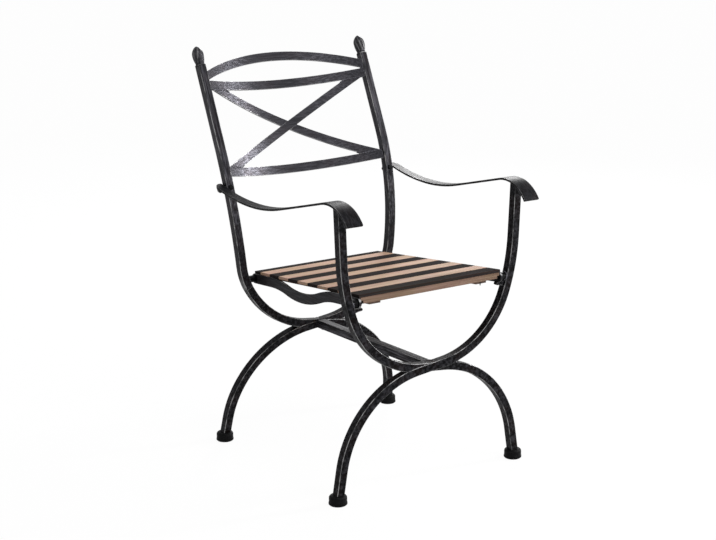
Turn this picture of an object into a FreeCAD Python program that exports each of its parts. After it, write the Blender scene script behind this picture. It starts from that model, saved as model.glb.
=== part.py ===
import FreeCAD, Part
import math
import os
import Sketcher
from FreeCAD import Placement, Rotation, Vector

# Garden armchair: two crossed frames of square tube, a bowed back, flat scroll
# arms and a slatted seat. Millimetres and degrees, +X to the sitter's left,
# -Y to the front, +Z up, origin on the floor in the plane of symmetry.

doc = FreeCAD.newDocument("GardenArmchair")

# Driving sizes
SIZES = [
    # square tube and joints
    ("tube", 20), ("tube_corner", 2), ("weld_gap", 0.1), ("overrun", 30),
    # crossed frames
    ("front_y", -301.6), ("rear_y", 157.8), ("front_cross_z", 275.5), ("rear_cross_z", 273),
    ("cross_angle", 6.34), ("cross_straight", 37.4), ("leg_bend_radius", 234.8),
    ("leg_angle", 80.49), ("front_rise_radius", 214.9), ("front_rise_angle", 71.11),
    ("front_post_radius", 460), ("front_post_angle", 87.5), ("rear_cross_angle", 7),
    ("rear_cross_straight", 33.2), ("rear_leg_radius", 242.1), ("rear_leg_angle", 84.18),
    ("leg_rake_angle", 10), ("rear_rise_radius", 221.5), ("rear_joint_angle", 62),
    # back posts
    ("post_bend_radius", 148.4), ("post_lean_angle", 6.6), ("recline_radius", 684.7),
    ("recline_angle", 24.35),
    ("post_top_z", 915.6),
    # stretcher
    ("stretcher_width", 20), ("stretcher_height", 20), ("stretcher_bolt", 10),
    ("stretcher_bolt_inset", 14), ("stretcher_bolt_drop", 4), ("stretcher_bolt_depth", 12),
    # foot caps
    ("cap_radius", 21.2), ("cap_ring_height", 5.4), ("cap_shoulder_radius", 20.5), ("cap_height", 22.6),
    ("cap_edge", 6.4), ("cap_floor", 4),
    # finials
    ("finial_washer_radius", 13), ("finial_washer_height", 2), ("finial_neck_radius", 10.7),
    ("finial_neck_height", 5), ("finial_radius", 14.2), ("finial_widest", 25),
    ("finial_height", 46.6), ("finial_tip_radius", 2),
    # back rails
    ("back_origin_z", 670), ("back_slope_angle", 22.8), ("back_bow", 49.8), ("rail_thickness", 5),
    ("rail_height", 21.5), ("bottom_rail_level", 2.6), ("second_rail_level", 218.8), ("arch_level", 241.3),
    ("arch_rise", 49.5), ("arch_height", 22), ("cross_bar_height", 20), ("cross_low_level", 0.8),
    ("cross_high_level", 222.2),
    # arms
    ("arm_thickness", 5), ("arm_outer_x", 266.5), ("arm_rear_width", 20), ("arm_front_width", 42.5),
    ("arm_low_y", 26), ("arm_low_z", 618.8), ("arm_rear_radius", 640), ("arm_rear_angle", 13),
    ("arm_tail", 29.9), ("arm_corner", 18), ("arm_front_radius", 520), ("arm_front_angle", 13.73),
    ("arm_straight", 170.4), ("arm_scroll_radius", 89.5), ("arm_scroll_angle", 69.7),
    ("arm_tip_corner", 1.2), ("lug_rise", 18.2), ("lug_thickness", 4), ("lug_inner", 8),
    ("lug_height", 18), ("lug_corner", 8), ("arm_bolt", 6), ("arm_bolt_head_radius", 6),
    ("arm_bolt_head_height", 3.4), ("arm_bolt_dome_share", 0.6), ("arm_nut_radius", 5.8),
    ("arm_nut_height", 5), ("arm_bolt_tail", 2),
    # seat frame
    ("seat_boss_z", 412.7), ("seat_slope_angle", 5.26), ("rail_outer_rear", 182.4),
    ("rail_outer_front", 201.5), ("side_rail_height", 24), ("side_rail_thickness", 5),
    ("side_rail_rear_run", 81), ("side_rail_radius", 262), ("side_rail_angle", 16.1), ("stud", 6),
    ("stud_depth", 8), ("stud_tail", 1.2), ("washer_radius", 11), ("washer_thickness", 1.4),
    ("front_spacer_radius", 9.6), ("rear_spacer_radius", 8.4), ("seat_nut_radius", 5.8),
    ("seat_nut_height", 4),
    # seat
    ("slat_thickness", 6.5), ("seat_front_overhang", 7.4), ("seat_rear_inset", 1.8), ("rear_slat", 28),
    ("slat_gap", 0.3), ("slat_edge", 1.6), ("seat_lift", 0.1), ("seat_half_rear", 181.8),
    ("seat_half_front", 199), ("slat_count", 11), ("front_rail_height", 14),
    ("front_rail_depth", 12), ("batten_x", 150), ("batten_width", 30), ("batten_height", 10),
    ("heel_height", 21), ("heel_length", 32), ("batten_rear_inset", 18), ("screw_radius", 4),
    ("screw_head", 2.2), ("screw_inset", 22),
    ("wood_clearance", 1),
]

sheet = doc.addObject("Spreadsheet::Sheet", "Sizes")
for row, (alias, number) in enumerate(SIZES, start=1):
    sheet.set("A%d" % row, alias)
    sheet.set("B%d" % row, str(number))
    sheet.setAlias("B%d" % row, alias)
doc.recompute()


class Size:
    """A number together with the expression that gives it from the sheet."""

    def __init__(self, number, text):
        self.number = number
        self.text = text

    def __add__(self, other):
        return Size(self.number + other.number, "(%s + %s)" % (self.text, other.text))

    def __sub__(self, other):
        return Size(self.number - other.number, "(%s - %s)" % (self.text, other.text))

    def __mul__(self, other):
        if isinstance(other, Size):
            return Size(self.number * other.number, "(%s * %s)" % (self.text, other.text))
        return Size(self.number * other, "(%s * %s)" % (self.text, other))

    def __truediv__(self, other):
        if isinstance(other, Size):
            return Size(self.number / other.number, "(%s / %s)" % (self.text, other.text))
        return Size(self.number / other, "(%s / %s)" % (self.text, other))

    def __neg__(self):
        return Size(-self.number, "(0 - %s)" % self.text)


def size(alias):
    return Size(float(sheet.get(alias)), "Sizes.%s" % alias)


def sine(angle):
    return Size(math.sin(math.radians(angle.number)), "sin(%s)" % angle.text)


def cosine(angle):
    return Size(math.cos(math.radians(angle.number)), "cos(%s)" % angle.text)


def tangent(angle):
    return sine(angle) / cosine(angle)


def root(square):
    return Size(math.sqrt(square.number), "sqrt(%s)" % square.text)


ZERO = Size(0.0, "0")
ONE = Size(1.0, "1")


def bind(thing, name, value):
    """Set a property of an object and bind it to the sheet."""
    setattr(thing, name, value.number)
    thing.setExpression(name, value.text)


def place(thing, x, y, z, turn="rotation(0; 0; 0)"):
    """Bind an object's placement: a point and a rotation written as an expression."""
    thing.setExpression("Placement", "placement(vector(%s; %s; %s); %s)" % (x.text, y.text, z.text, turn))
    doc.recompute()


def about(axis, angle):
    return "rotation%s(%s)" % (axis, angle.text)


# Sketch helpers
def new_body(name):
    body = doc.addObject("PartDesign::Body", name)
    body.Label = name
    return body


def new_sketch(body, name, plane, offset=None):
    sketch = body.newObject("Sketcher::SketchObject", name)
    support = [feature for feature in body.Origin.OriginFeatures if feature.Role == plane]
    sketch.AttachmentSupport = [(support[0], "")]
    sketch.MapMode = "FlatFace"
    if offset is not None:
        sketch.AttachmentOffset = Placement(Vector(0, 0, offset.number), Rotation())
        sketch.setExpression("AttachmentOffset.Base.z", offset.text)
    return sketch


def measure(sketch, kind, places, value):
    """Dimension a sketch between the given places and bind it."""
    index = sketch.addConstraint(Sketcher.Constraint(kind, *places, value.number))
    sketch.setExpression("Constraints[%d]" % index, value.text)


def locate(sketch, geometry, end, x, y):
    """Fix one end of a sketch element at x, y from the sketch's origin."""
    for kind, value, axis in (("DistanceX", x, -2), ("DistanceY", y, -1)):
        if value.number == 0:
            sketch.addConstraint(Sketcher.Constraint("PointOnObject", geometry, end, axis))
        elif value.number > 0:
            measure(sketch, kind, (-1, 1, geometry, end), value)
        else:
            measure(sketch, kind, (geometry, end, -1, 1), -value)


def section(body, name, width, height, corner=None, below=None, offset=None):
    """Rectangle across the start of a path, centred sideways, rounded where corner is given."""
    sketch = new_sketch(body, name, "YZ_Plane", offset)
    below = below or height / 2
    half = width.number / 2
    low = -below.number
    high = low + height.number
    bend = corner.number if corner else 0
    ends = [((-half + bend, low), (half - bend, low)), ((half, low + bend), (half, high - bend)),
            ((half - bend, high), (-half + bend, high)), ((-half, high - bend), (-half, low + bend))]
    for first, last in ends:
        sketch.addGeometry(Part.LineSegment(Vector(*first, 0), Vector(*last, 0)))
    for side in range(4):
        sketch.addConstraint(Sketcher.Constraint("Vertical" if side % 2 else "Horizontal", side))
    if corner:
        centres = [(half - bend, low + bend), (half - bend, high - bend),
                   (-half + bend, high - bend), (-half + bend, low + bend)]
        for side, (x, y) in enumerate(centres):
            start = math.radians(-90 + 90 * side)
            circle = Part.Circle(Vector(x, y, 0), Vector(0, 0, 1), bend)
            arc = sketch.addGeometry(Part.ArcOfCircle(circle, start, start + math.radians(90)))
            sketch.addConstraint(Sketcher.Constraint("Tangent", side, 2, arc, 1))
            sketch.addConstraint(Sketcher.Constraint("Tangent", arc, 2, (side + 1) % 4, 1))
            if side:
                sketch.addConstraint(Sketcher.Constraint("Equal", arc - 1, arc))
            else:
                measure(sketch, "Radius", (arc,), corner)
    else:
        for side in range(4):
            sketch.addConstraint(Sketcher.Constraint("Coincident", side, 2, (side + 1) % 4, 1))
    measure(sketch, "DistanceX", (-1, 1, 1, 2), width / 2)
    measure(sketch, "DistanceX", (3, 1, 1, 2), width)
    measure(sketch, "DistanceY", (0, 1, -1, 1), below)
    measure(sketch, "DistanceY", (0, 1, 2, 1), height)
    return sketch


def path(body, name, steps, back=False, lead=None):
    """Chain of straight runs and tangent arcs in the XZ plane, leaving the origin along X or, when back, -X.

    A step is a run's length, or an arc's radius, angle and sense (+1 turns up, -1 down).
    A lead starts the path that far behind the origin.
    """
    sketch = new_sketch(body, name, "XZ_Plane")
    way = -1 if back else 1
    heading = math.pi if back else 0.0
    point = Vector(-way * lead.number if lead else 0, 0, 0)
    before = None
    for step in steps:
        along = Vector(math.cos(heading), math.sin(heading), 0)
        if len(step) == 1:
            after = point + along * step[0].number
            geometry = sketch.addGeometry(Part.LineSegment(point, after))
            first, last = 1, 2
        else:
            radius, angle, sense = step
            left = sense * way
            centre = point + Vector(-along.y, along.x, 0) * radius.number * left
            span = math.radians(angle.number)
            here = math.atan2(point.y - centre.y, point.x - centre.x)
            circle = Part.Circle(centre, Vector(0, 0, 1), radius.number)
            limits = (here, here + span) if left > 0 else (here - span, here)
            geometry = sketch.addGeometry(Part.ArcOfCircle(circle, *limits))
            first, last = (1, 2) if left > 0 else (2, 1)
            heading += left * span
            there = here + left * span
            after = centre + Vector(math.cos(there), math.sin(there), 0) * radius.number
        if before is None:
            locate(sketch, geometry, first, -lead * way if lead else ZERO, ZERO)
            if len(step) == 1:
                sketch.addConstraint(Sketcher.Constraint("Horizontal", geometry))
            else:
                sketch.addConstraint(Sketcher.Constraint("Vertical", geometry, first, geometry, 3))
        else:
            sketch.addConstraint(Sketcher.Constraint("Tangent", before[0], before[1], geometry, first))
        if len(step) == 1:
            measure(sketch, "Distance", (geometry,), step[0])
        else:
            measure(sketch, "Radius", (geometry,), step[0])
            measure(sketch, "Angle", (geometry,), Size(math.radians(step[1].number), step[1].text))
        before = (geometry, last)
        point = after
    return sketch


def pipe(body, name, profile, spine):
    doc.recompute()
    feature = body.newObject("PartDesign::AdditivePipe", name)
    feature.Profile = (profile, [""])
    feature.Spine = (spine, [""])
    doc.recompute()
    return feature


def outline(body, name, plane, corners, offset=None):
    """Closed outline through corners (x, y), each with an optional radius and sense for the arc after it."""
    sketch = new_sketch(body, name, plane, offset)
    count = len(corners)
    for index, corner in enumerate(corners):
        following = corners[(index + 1) % count]
        start = Vector(corner[0].number, corner[1].number, 0)
        end = Vector(following[0].number, following[1].number, 0)
        if len(corner) == 2:
            sketch.addGeometry(Part.LineSegment(start, end))
            continue
        radius, left = corner[2], corner[3]
        chord = end - start
        rise = math.sqrt(max(radius.number ** 2 - (chord.Length / 2) ** 2, 0))
        normal = Vector(-chord.y, chord.x, 0).normalize()
        centre = (start + end) * 0.5 + normal * rise * left
        circle = Part.Circle(centre, Vector(0, 0, 1), radius.number)
        at_start = math.atan2(start.y - centre.y, start.x - centre.x)
        at_end = math.atan2(end.y - centre.y, end.x - centre.x)
        limits = (at_start, at_end) if left > 0 else (at_end, at_start)
        sketch.addGeometry(Part.ArcOfCircle(circle, *limits))
    ends = [(1, 2) if len(corner) == 2 or corner[3] > 0 else (2, 1) for corner in corners]
    for index, corner in enumerate(corners):
        locate(sketch, index, ends[index][0], corner[0], corner[1])
        after = (index + 1) % count
        sketch.addConstraint(Sketcher.Constraint(
            "Coincident", index, ends[index][1], after, ends[after][0]))
        if len(corner) > 2:
            measure(sketch, "Radius", (index,), corner[2])
    return sketch


def pad(body, name, profile, length, midplane=False):
    feature = body.newObject("PartDesign::Pad", name)
    feature.Profile = profile
    bind(feature, "Length", length)
    feature.Midplane = midplane
    doc.recompute()
    return feature


def turned(name, corners):
    """Solid of revolution about Z from a half outline of radius and height."""
    body = new_body(name)
    profile = outline(body, name + "_profile", "XZ_Plane", corners)
    feature = body.newObject("PartDesign::Revolution", name + "_turn")
    feature.Profile = profile
    feature.ReferenceAxis = (profile, ["V_Axis"])
    doc.recompute()
    return body


def cut(label, base, *tools):
    for index, tool in enumerate(tools):
        result = doc.addObject("Part::Cut", "%s_cut_%d" % (label, index))
        result.Base = base
        result.Tool = tool
        base = result
    base.Label = label
    doc.recompute()
    return base


def fuse(label, *parts):
    result = doc.addObject("Part::MultiFuse", label)
    result.Shapes = list(parts)
    result.Refine = True
    doc.recompute()
    return result


def common(label, first, second):
    result = doc.addObject("Part::Common", label)
    result.Base = first
    result.Tool = second
    doc.recompute()
    return result


def mirror(label, source):
    result = doc.addObject("Part::Mirroring", label)
    result.Source = source
    result.Base = Vector(0, 0, 0)
    result.Normal = Vector(1, 0, 0)
    doc.recompute()
    return result


def cylinder(label, radius, height):
    result = doc.addObject("Part::Cylinder", label)
    bind(result, "Radius", radius)
    bind(result, "Height", height)
    return result


def box(label, length, width, height):
    result = doc.addObject("Part::Box", label)
    bind(result, "Length", length)
    bind(result, "Width", width)
    bind(result, "Height", height)
    return result


def compound(label, *parts):
    result = doc.addObject("Part::Compound", label)
    result.Links = list(parts)
    doc.recompute()
    return result


NODES = []


def node(label, thing):
    thing.Label = label
    NODES.append((label, thing))
    return thing


def pair(label, right):
    """Hand in a piece of the +X side and its mirror image."""
    node(label + "_left", right)
    node(label + "_right", mirror(label + "_right", right))


tube = size("tube")
half_tube = tube / 2
corner = size("tube_corner")
gap = size("weld_gap")
overrun = size("overrun")
front_y = size("front_y")
rear_y = size("rear_y")
front_cross_z = size("front_cross_z")
rear_cross_z = size("rear_cross_z")
cross = size("cross_angle")
straight = size("cross_straight")
leg_radius = size("leg_bend_radius")
leg_angle = size("leg_angle")
rake = size("leg_rake_angle")

# Legs: straight at the crossing, one bend, straight to the floor
leg_drop = straight * sine(cross) + leg_radius * (cosine(cross) - cosine(leg_angle))
front_leg = (front_cross_z - leg_drop) / sine(leg_angle)
front_leg_steps = [(straight,), (leg_radius, leg_angle - cross, -1), (front_leg,)]


# Front uprights: two bends and a straight run to the underside of the arm
rise_radius = size("front_rise_radius")
rise_angle = size("front_rise_angle")
upper_radius = size("front_post_radius")
upper_angle = size("front_post_angle")
arm_scroll_angle = size("arm_scroll_angle")
arm_front_angle = size("arm_front_angle")
arm_crest_z = (size("arm_low_z") + size("arm_front_radius") * (ONE - cosine(arm_front_angle))
               + size("arm_straight") * sine(arm_front_angle)
               + size("arm_scroll_radius") * (ONE - cosine(arm_front_angle)))
front_bend_z = (front_cross_z + straight * sine(cross) + rise_radius * (cosine(cross) - cosine(rise_angle))
                + upper_radius * (cosine(rise_angle) - cosine(upper_angle)))
front_post = (arm_crest_z + half_tube - front_bend_z) / sine(upper_angle)
front_rise = [(straight,), (rise_radius, rise_angle - cross, 1),
              (upper_radius, upper_angle - rise_angle, 1),
              (front_post,)]

# Front frame, one tube through the crossing and one in two halves
through = new_body("front_through_tube")
through_section = section(through, "front_through_section", tube, tube, corner)
pipe(through, "front_through_rise", through_section, path(through, "front_through_rise_path", front_rise))
through_leg_path = path(through, "front_through_leg_path", front_leg_steps, back=True)
pipe(through, "front_through_leg", through_section, through_leg_path)
place(through, ZERO, front_y, front_cross_z, about("y", -cross))

through_tool = new_body("front_through_tool")
tool_section = section(through_tool, "front_through_tool_section", tube + overrun, tube)
pipe(through_tool, "front_through_tool_rise", tool_section,
     path(through_tool, "front_through_tool_rise_path", front_rise))
tool_leg_path = path(through_tool, "front_through_tool_leg_path", front_leg_steps, back=True)
pipe(through_tool, "front_through_tool_leg", tool_section, tool_leg_path)
place(through_tool, ZERO, front_y, front_cross_z, about("y", -cross))

front_lower = new_body("front_lower_half")
pipe(front_lower, "front_lower_pipe", section(front_lower, "front_lower_section", tube, tube, corner),
     path(front_lower, "front_lower_path", front_leg_steps))
place(front_lower, ZERO, front_y, front_cross_z, about("y", cross))

front_upper = new_body("front_upper_half")
pipe(front_upper, "front_upper_pipe", section(front_upper, "front_upper_section", tube, tube, corner),
     path(front_upper, "front_upper_path", front_rise))
place(front_upper, ZERO, front_y, front_cross_z, "rotation(180; 0; 0) * " + about("y", -cross))

# Rear frame, an arch of two raked legs mitred at the crossing and two branches above it
rear_cross = size("rear_cross_angle")
rear_straight = size("rear_cross_straight")
rear_leg_radius = size("rear_leg_radius")
rear_leg_angle = size("rear_leg_angle")
rear_drop = (rear_straight * sine(rear_cross)
             + rear_leg_radius * (cosine(rear_cross) - cosine(rear_leg_angle)))
rear_leg = (rear_cross_z / cosine(rake) - rear_drop) / sine(rear_leg_angle)
rear_leg_steps = [(rear_straight + overrun,), (rear_leg_radius, rear_leg_angle - rear_cross, -1),
                  (rear_leg,)]
rear_rise_radius = size("rear_rise_radius")
joint_angle = size("rear_joint_angle")
rear_rise = [(rear_straight + overrun,), (rear_rise_radius, joint_angle - rear_cross, 1)]
raked = about("x", rake) + " * "

rear_leg_body = new_body("rear_leg_tube")
pipe(rear_leg_body, "rear_leg_pipe",
     section(rear_leg_body, "rear_leg_section", tube, tube, corner, None, -overrun),
     path(rear_leg_body, "rear_leg_path", rear_leg_steps, False, overrun))
place(rear_leg_body, ZERO, rear_y, rear_cross_z, raked + about("y", rear_cross))

rear_tool = new_body("rear_leg_tool")
pipe(rear_tool, "rear_leg_tool_pipe",
     section(rear_tool, "rear_leg_tool_section", tube + overrun, tube * 2, None,
             tube * 2 - half_tube, -overrun),
     path(rear_tool, "rear_leg_tool_path", rear_leg_steps, False, overrun))
place(rear_tool, ZERO, rear_y, rear_cross_z, raked + about("y", rear_cross))

rear_branch = new_body("rear_branch_tube")
pipe(rear_branch, "rear_branch_pipe",
     section(rear_branch, "rear_branch_section", tube, tube, corner, None, -overrun),
     path(rear_branch, "rear_branch_path", rear_rise, False, overrun))
place(rear_branch, ZERO, rear_y, rear_cross_z, about("y", -rear_cross))

mitre = box("mitre_box", overrun * 2, tube * 3, tube * 3)
place(mitre, -(overrun * 2), rear_y - tube * 3 / 2, rear_cross_z - tube * 3 / 2)

# Back posts: a bend in the frame's plane, a bend to the recline, a straight run
post_radius = size("post_bend_radius")
lean = size("post_lean_angle")
recline = size("recline_angle")
recline_radius = size("recline_radius")
upright = Size(90 - lean.number, "(90 - %s)" % lean.text)
branch_x = rear_straight * cosine(rear_cross) + rear_rise_radius * (sine(joint_angle) - sine(rear_cross))
branch_z = (rear_cross_z + rear_straight * sine(rear_cross)
            + rear_rise_radius * (cosine(rear_cross) - cosine(joint_angle)))
bend_x = branch_x + post_radius * (sine(upright) - sine(joint_angle))
bend_z = branch_z + post_radius * (cosine(joint_angle) - cosine(upright))


def post_points():
    """Ends of the post's three stretches, and the directions at them."""
    start = Vector(branch_x.number, rear_y.number, branch_z.number)
    first = Vector(bend_x.number, rear_y.number, bend_z.number)
    low = math.radians(joint_angle.number)
    lean_angle = math.radians(lean.number)
    tilt = math.radians(recline.number)
    way_in = Vector(math.cos(low), 0, math.sin(low))
    way_up = Vector(math.sin(lean_angle), 0, math.cos(lean_angle))
    way_back = Vector(0, math.sin(tilt), math.cos(tilt))
    turn = way_up.getAngle(way_back)
    second = first + (way_up + way_back) * (recline_radius.number * math.tan(turn / 2))
    top = second + way_back * ((size("post_top_z").number - second.z) / way_back.z)
    return start, first, second, top, way_in, way_up, way_back


def arc_middle(start, end, way_start, way_end, radius):
    turn = way_start.getAngle(way_end)
    inward = (way_end - way_start * way_end.dot(way_start)).normalize()
    return start + way_start * (radius * math.sin(turn / 2)) + inward * (radius * (1 - math.cos(turn / 2)))


def post_solid(width, depth, bend):
    """Square bar swept down the post from its top; width runs along X, depth across it."""
    start, first, second, top, way_in, way_up, way_back = post_points()
    spine = Part.Wire([
        Part.LineSegment(top, second).toShape(),
        Part.Arc(second, arc_middle(first, second, way_up, way_back, recline_radius.number),
                 first).toShape(),
        Part.Arc(first, arc_middle(start, first, way_in, way_up, post_radius.number), start).toShape(),
    ])
    corners = [Vector(x * width / 2, y * depth / 2, 0)
               for x, y in ((-1, -1), (1, -1), (1, 1), (-1, 1), (-1, -1))]
    face = Part.Wire(Part.makePolygon(corners))
    if bend:
        bar = Part.Face(face).extrude(Vector(0, 0, width))
        upright_edges = [edge for edge in bar.Edges if abs(edge.tangentAt(edge.FirstParameter).z) > 0.9]
        bar = bar.makeFillet(bend, upright_edges)
        face = [part for part in bar.Faces if abs(part.CenterOfMass.z) < bend * 0.01][0].OuterWire
    face.Placement = Placement(top, Rotation(Vector(1, 0, 0), -recline.number))
    return Part.Wire(spine).makePipeShell([face], True, False)


back_post = doc.addObject("Part::Feature", "back_post_bar")
back_post.Shape = post_solid(tube.number, tube.number, corner.number)
post_tool = doc.addObject("Part::Feature", "back_post_tool")
post_tool.Shape = post_solid(tube.number, tube.number + overrun.number, 0)

# Arm: flat band along a side profile, trimmed to its outline in plan
band = size("arm_thickness")
arm_outer = size("arm_outer_x")
arm_rear_width = size("arm_rear_width")
arm_front_width = size("arm_front_width")
arm_middle = arm_outer - arm_front_width / 2
arm_forward = [(size("arm_front_radius") - band / 2, arm_front_angle, 1), (size("arm_straight"),),
               (size("arm_scroll_radius"), arm_scroll_angle, -1)]
arm_backward = [(size("arm_rear_radius") - band / 2, size("arm_rear_angle"), 1), (size("arm_tail"),)]


def arm_body(name, thickness, below):
    body = new_body(name)
    across = section(body, name + "_section", arm_front_width * 2, thickness, None, below)
    pipe(body, name + "_front", across, path(body, name + "_front_path", arm_forward))
    pipe(body, name + "_rear", across, path(body, name + "_rear_path", arm_backward, back=True))
    place(body, arm_middle, size("arm_low_y"), size("arm_low_z") + band / 2, "rotation(-90; 0; 0)")
    return body


arm_band = arm_body("arm_band", band, band / 2)
arm_tool = arm_body("arm_tool", overrun + band, band / 2)
arm_rear_angle = size("arm_rear_angle")
arm_rear_y = (size("arm_low_y") + (size("arm_rear_radius") - band / 2) * sine(arm_rear_angle)
              + size("arm_tail") * cosine(arm_rear_angle))
arm_crest_y = (size("arm_low_y") - (size("arm_front_radius") - band / 2) * sine(arm_front_angle)
               - size("arm_straight") * cosine(arm_front_angle)
               - size("arm_scroll_radius") * sine(arm_front_angle))
arm_tip_y = arm_crest_y - (size("arm_scroll_radius") + band / 2) * sine(arm_scroll_angle - arm_front_angle)
arm_corner = size("arm_corner")
tip_corner = size("arm_tip_corner")
plan = new_body("arm_plan")
plan_rear = arm_rear_y + band
plan_outline = outline(plan, "arm_plan_outline", "XY_Plane", [
    (arm_outer - arm_rear_width, plan_rear), (arm_outer - arm_front_width, arm_tip_y + tip_corner),
    (arm_outer - arm_front_width + tip_corner, arm_tip_y),
    (arm_outer - tip_corner, arm_tip_y, tip_corner, 1),
    (arm_outer, arm_tip_y + tip_corner), (arm_outer, arm_rear_y - arm_corner, arm_corner, 1),
    (arm_outer - arm_corner, arm_rear_y), (arm_outer - arm_corner, plan_rear)])
pad(plan, "arm_plan_pad", plan_outline, arm_crest_z * 2)
arm = common("arm_bar", arm_band, plan)
pair("arm", arm)

# Seat side rails: flat bar on edge with a sagging middle, rounded past the bosses
slope = size("seat_slope_angle")
boss_z = size("seat_boss_z")
rail_rear_x = size("rail_outer_rear")
rail_front_x = size("rail_outer_front")
side_height = size("side_rail_height")
side_thickness = size("side_rail_thickness")
sag_radius = size("side_rail_radius")
sag_angle = size("side_rail_angle")
rear_run = size("side_rail_rear_run")
splay = (rail_front_x - rail_rear_x) / (rear_y - front_y)
splay_turn = "atan(%s)" % splay.text
rail_level = root((rail_front_x - rail_rear_x) * (rail_front_x - rail_rear_x)
                  + (rear_y - front_y) * (rear_y - front_y))
seat_run = rail_level / cosine(slope)
front_run = seat_run - rear_run - sag_radius * sine(sag_angle) * 4
side_turn = "rotationz(-90) * rotationz(%s) * %s" % (splay_turn, about("y", -slope))
side_bar = new_body("side_bar")
pipe(side_bar, "side_bar_pipe", section(side_bar, "side_bar_section", side_thickness, side_height),
     path(side_bar, "side_bar_path", [
         (rear_run,), (sag_radius, sag_angle, -1), (sag_radius, sag_angle * 2, 1),
         (sag_radius, sag_angle, -1), (front_run,)]))
splay_cosine = (rear_y - front_y) / rail_level
half_across = side_thickness / 2 * splay_cosine
half_along = side_thickness / 2 * splay * splay_cosine
place(side_bar, rail_rear_x - half_across, rear_y - half_along, boss_z, side_turn)
front_boss_z = boss_z + rail_level * tangent(slope)

# Hardware of the four bosses lies square to the side rail
BOSSES = [("front", rail_front_x, front_y, front_boss_z), ("rear", rail_rear_x, rear_y, boss_z)]
boss_turn = "rotationz(%s) * rotationy(90)" % splay_turn


def along_boss(x, y, z, distance, thing):
    """Stand a piece on the boss's axis, its base at this distance outward from the rail's outer face."""
    place(thing, x + distance * splay_cosine, y + distance * splay * splay_cosine, z, boss_turn)
    return thing


stud_radius = size("stud") / 2
stud_hole = stud_radius + gap
washer_radius = size("washer_radius")
washer = size("washer_thickness")
nut_height = size("seat_nut_height")
rail_ends = []
frame_holes = {}
rail_holes = []
for name, x, y, z in BOSSES:
    rail_ends.append(along_boss(x, y, z, -side_thickness, cylinder("side_%s_end" % name, side_height / 2,
                                                                  side_thickness)))
    rail_holes.append(along_boss(x, y, z, -(side_thickness * 2),
                                 cylinder("side_%s_hole" % name, stud_hole, side_thickness * 3)))
side_rail = cut("side_rail_bar", fuse("side_rail_blank", side_bar, *rail_ends), *rail_holes)
pair("seat_side_rail", side_rail)

# Distance from the rail to the tube at each boss, measured along X
front_at_boss = front_bend_z - front_boss_z
front_angle_cosine = cosine(upper_angle) + front_at_boss / upper_radius
front_angle_sine = root(ONE - front_angle_cosine * front_angle_cosine)
front_tube_x = (straight * cosine(cross) + rise_radius * (sine(rise_angle) - sine(cross))
                + upper_radius * (front_angle_sine - sine(rise_angle)))
rear_angle_cosine = cosine(upright) + (bend_z - boss_z) / post_radius
rear_angle_sine = root(ONE - rear_angle_cosine * rear_angle_cosine)
rear_tube_x = branch_x + post_radius * (rear_angle_sine - sine(joint_angle))
front_face_x = front_tube_x - half_tube / front_angle_sine
rear_face_x = rear_tube_x - half_tube / rear_angle_sine
TUBE_X = {"front": (front_tube_x, front_face_x, front_angle_cosine / front_angle_sine),
          "rear": (rear_tube_x, rear_face_x, rear_angle_cosine / rear_angle_sine)}

studs = []
washers = []
nuts = []
nut_rooms = []
for name, x, y, z in BOSSES:
    middle_x, face_x, face_slope = TUBE_X[name]
    spacer_radius = size("%s_spacer_radius" % name)
    reach = (middle_x - x) / splay_cosine
    tool = through_tool if name == "front" else post_tool
    inner_washer = along_boss(x, y, z, ZERO, cylinder("%s_inner_washer_disc" % name, washer_radius, washer))
    spacer_blank = along_boss(x, y, z, washer,
                              cylinder("%s_spacer_blank" % name, spacer_radius, reach - washer))
    tail = side_thickness + washer + nut_height + size("stud_tail")
    bore = along_boss(x, y, z, -tail, cylinder("%s_bore" % name, stud_hole, tail + reach + tube))
    # Spacer coped to the tube's inner face
    spacer = cut("%s_spacer_piece" % name, spacer_blank, tool, bore)
    pair("seat_spacer_%s" % name, spacer)
    washers.append(cut("%s_inner_washer" % name, inner_washer, bore))
    nut_blank = doc.addObject("Part::Prism", "%s_nut_blank" % name)
    nut_blank.Polygon = 6
    bind(nut_blank, "Circumradius", size("seat_nut_radius"))
    bind(nut_blank, "Height", nut_height)
    along_boss(x, y, z, -(side_thickness + washer + nut_height), nut_blank)
    nuts.append(cut("%s_seat_nut" % name, nut_blank, bore))
    nut_seat = size("seat_nut_radius") + washer
    under_washer = along_boss(x, y, z, -(side_thickness + washer),
                              cylinder("%s_nut_washer_disc" % name, nut_seat, washer))
    washers.append(cut("%s_nut_washer" % name, under_washer, bore))
    room = along_boss(x, y, z, -(side_thickness + washer * 2 + nut_height + size("stud_tail")),
                      cylinder("%s_nut_room" % name, nut_seat + size("wood_clearance"),
                               nut_height + washer * 2 + size("stud_tail")))
    nut_rooms.append(room)
    nut_rooms.append(mirror("%s_nut_room_mirror" % name, room))
    stud_length = tail + (face_x - x) / splay_cosine + size("stud_depth")
    studs.append(along_boss(x, y, z, -tail, cylinder("%s_stud" % name, stud_radius, stud_length)))
    frame_holes[name] = along_boss(x, y, z, -tail,
                                   cylinder("%s_frame_hole" % name, stud_hole, stud_length + gap))
    frame_holes[name + "_mirror"] = mirror("%s_frame_hole_mirror" % name, frame_holes[name])
node("seat_studs", compound("seat_studs", *studs,
                            *[mirror(piece.Name + "_mirror", piece) for piece in studs]))
node("seat_washers", compound("seat_washers", *washers,
                              *[mirror(piece.Name + "_mirror", piece) for piece in washers]))
node("seat_nuts", compound("seat_nuts", *nuts, *[mirror(piece.Name + "_mirror", piece) for piece in nuts]))

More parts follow.
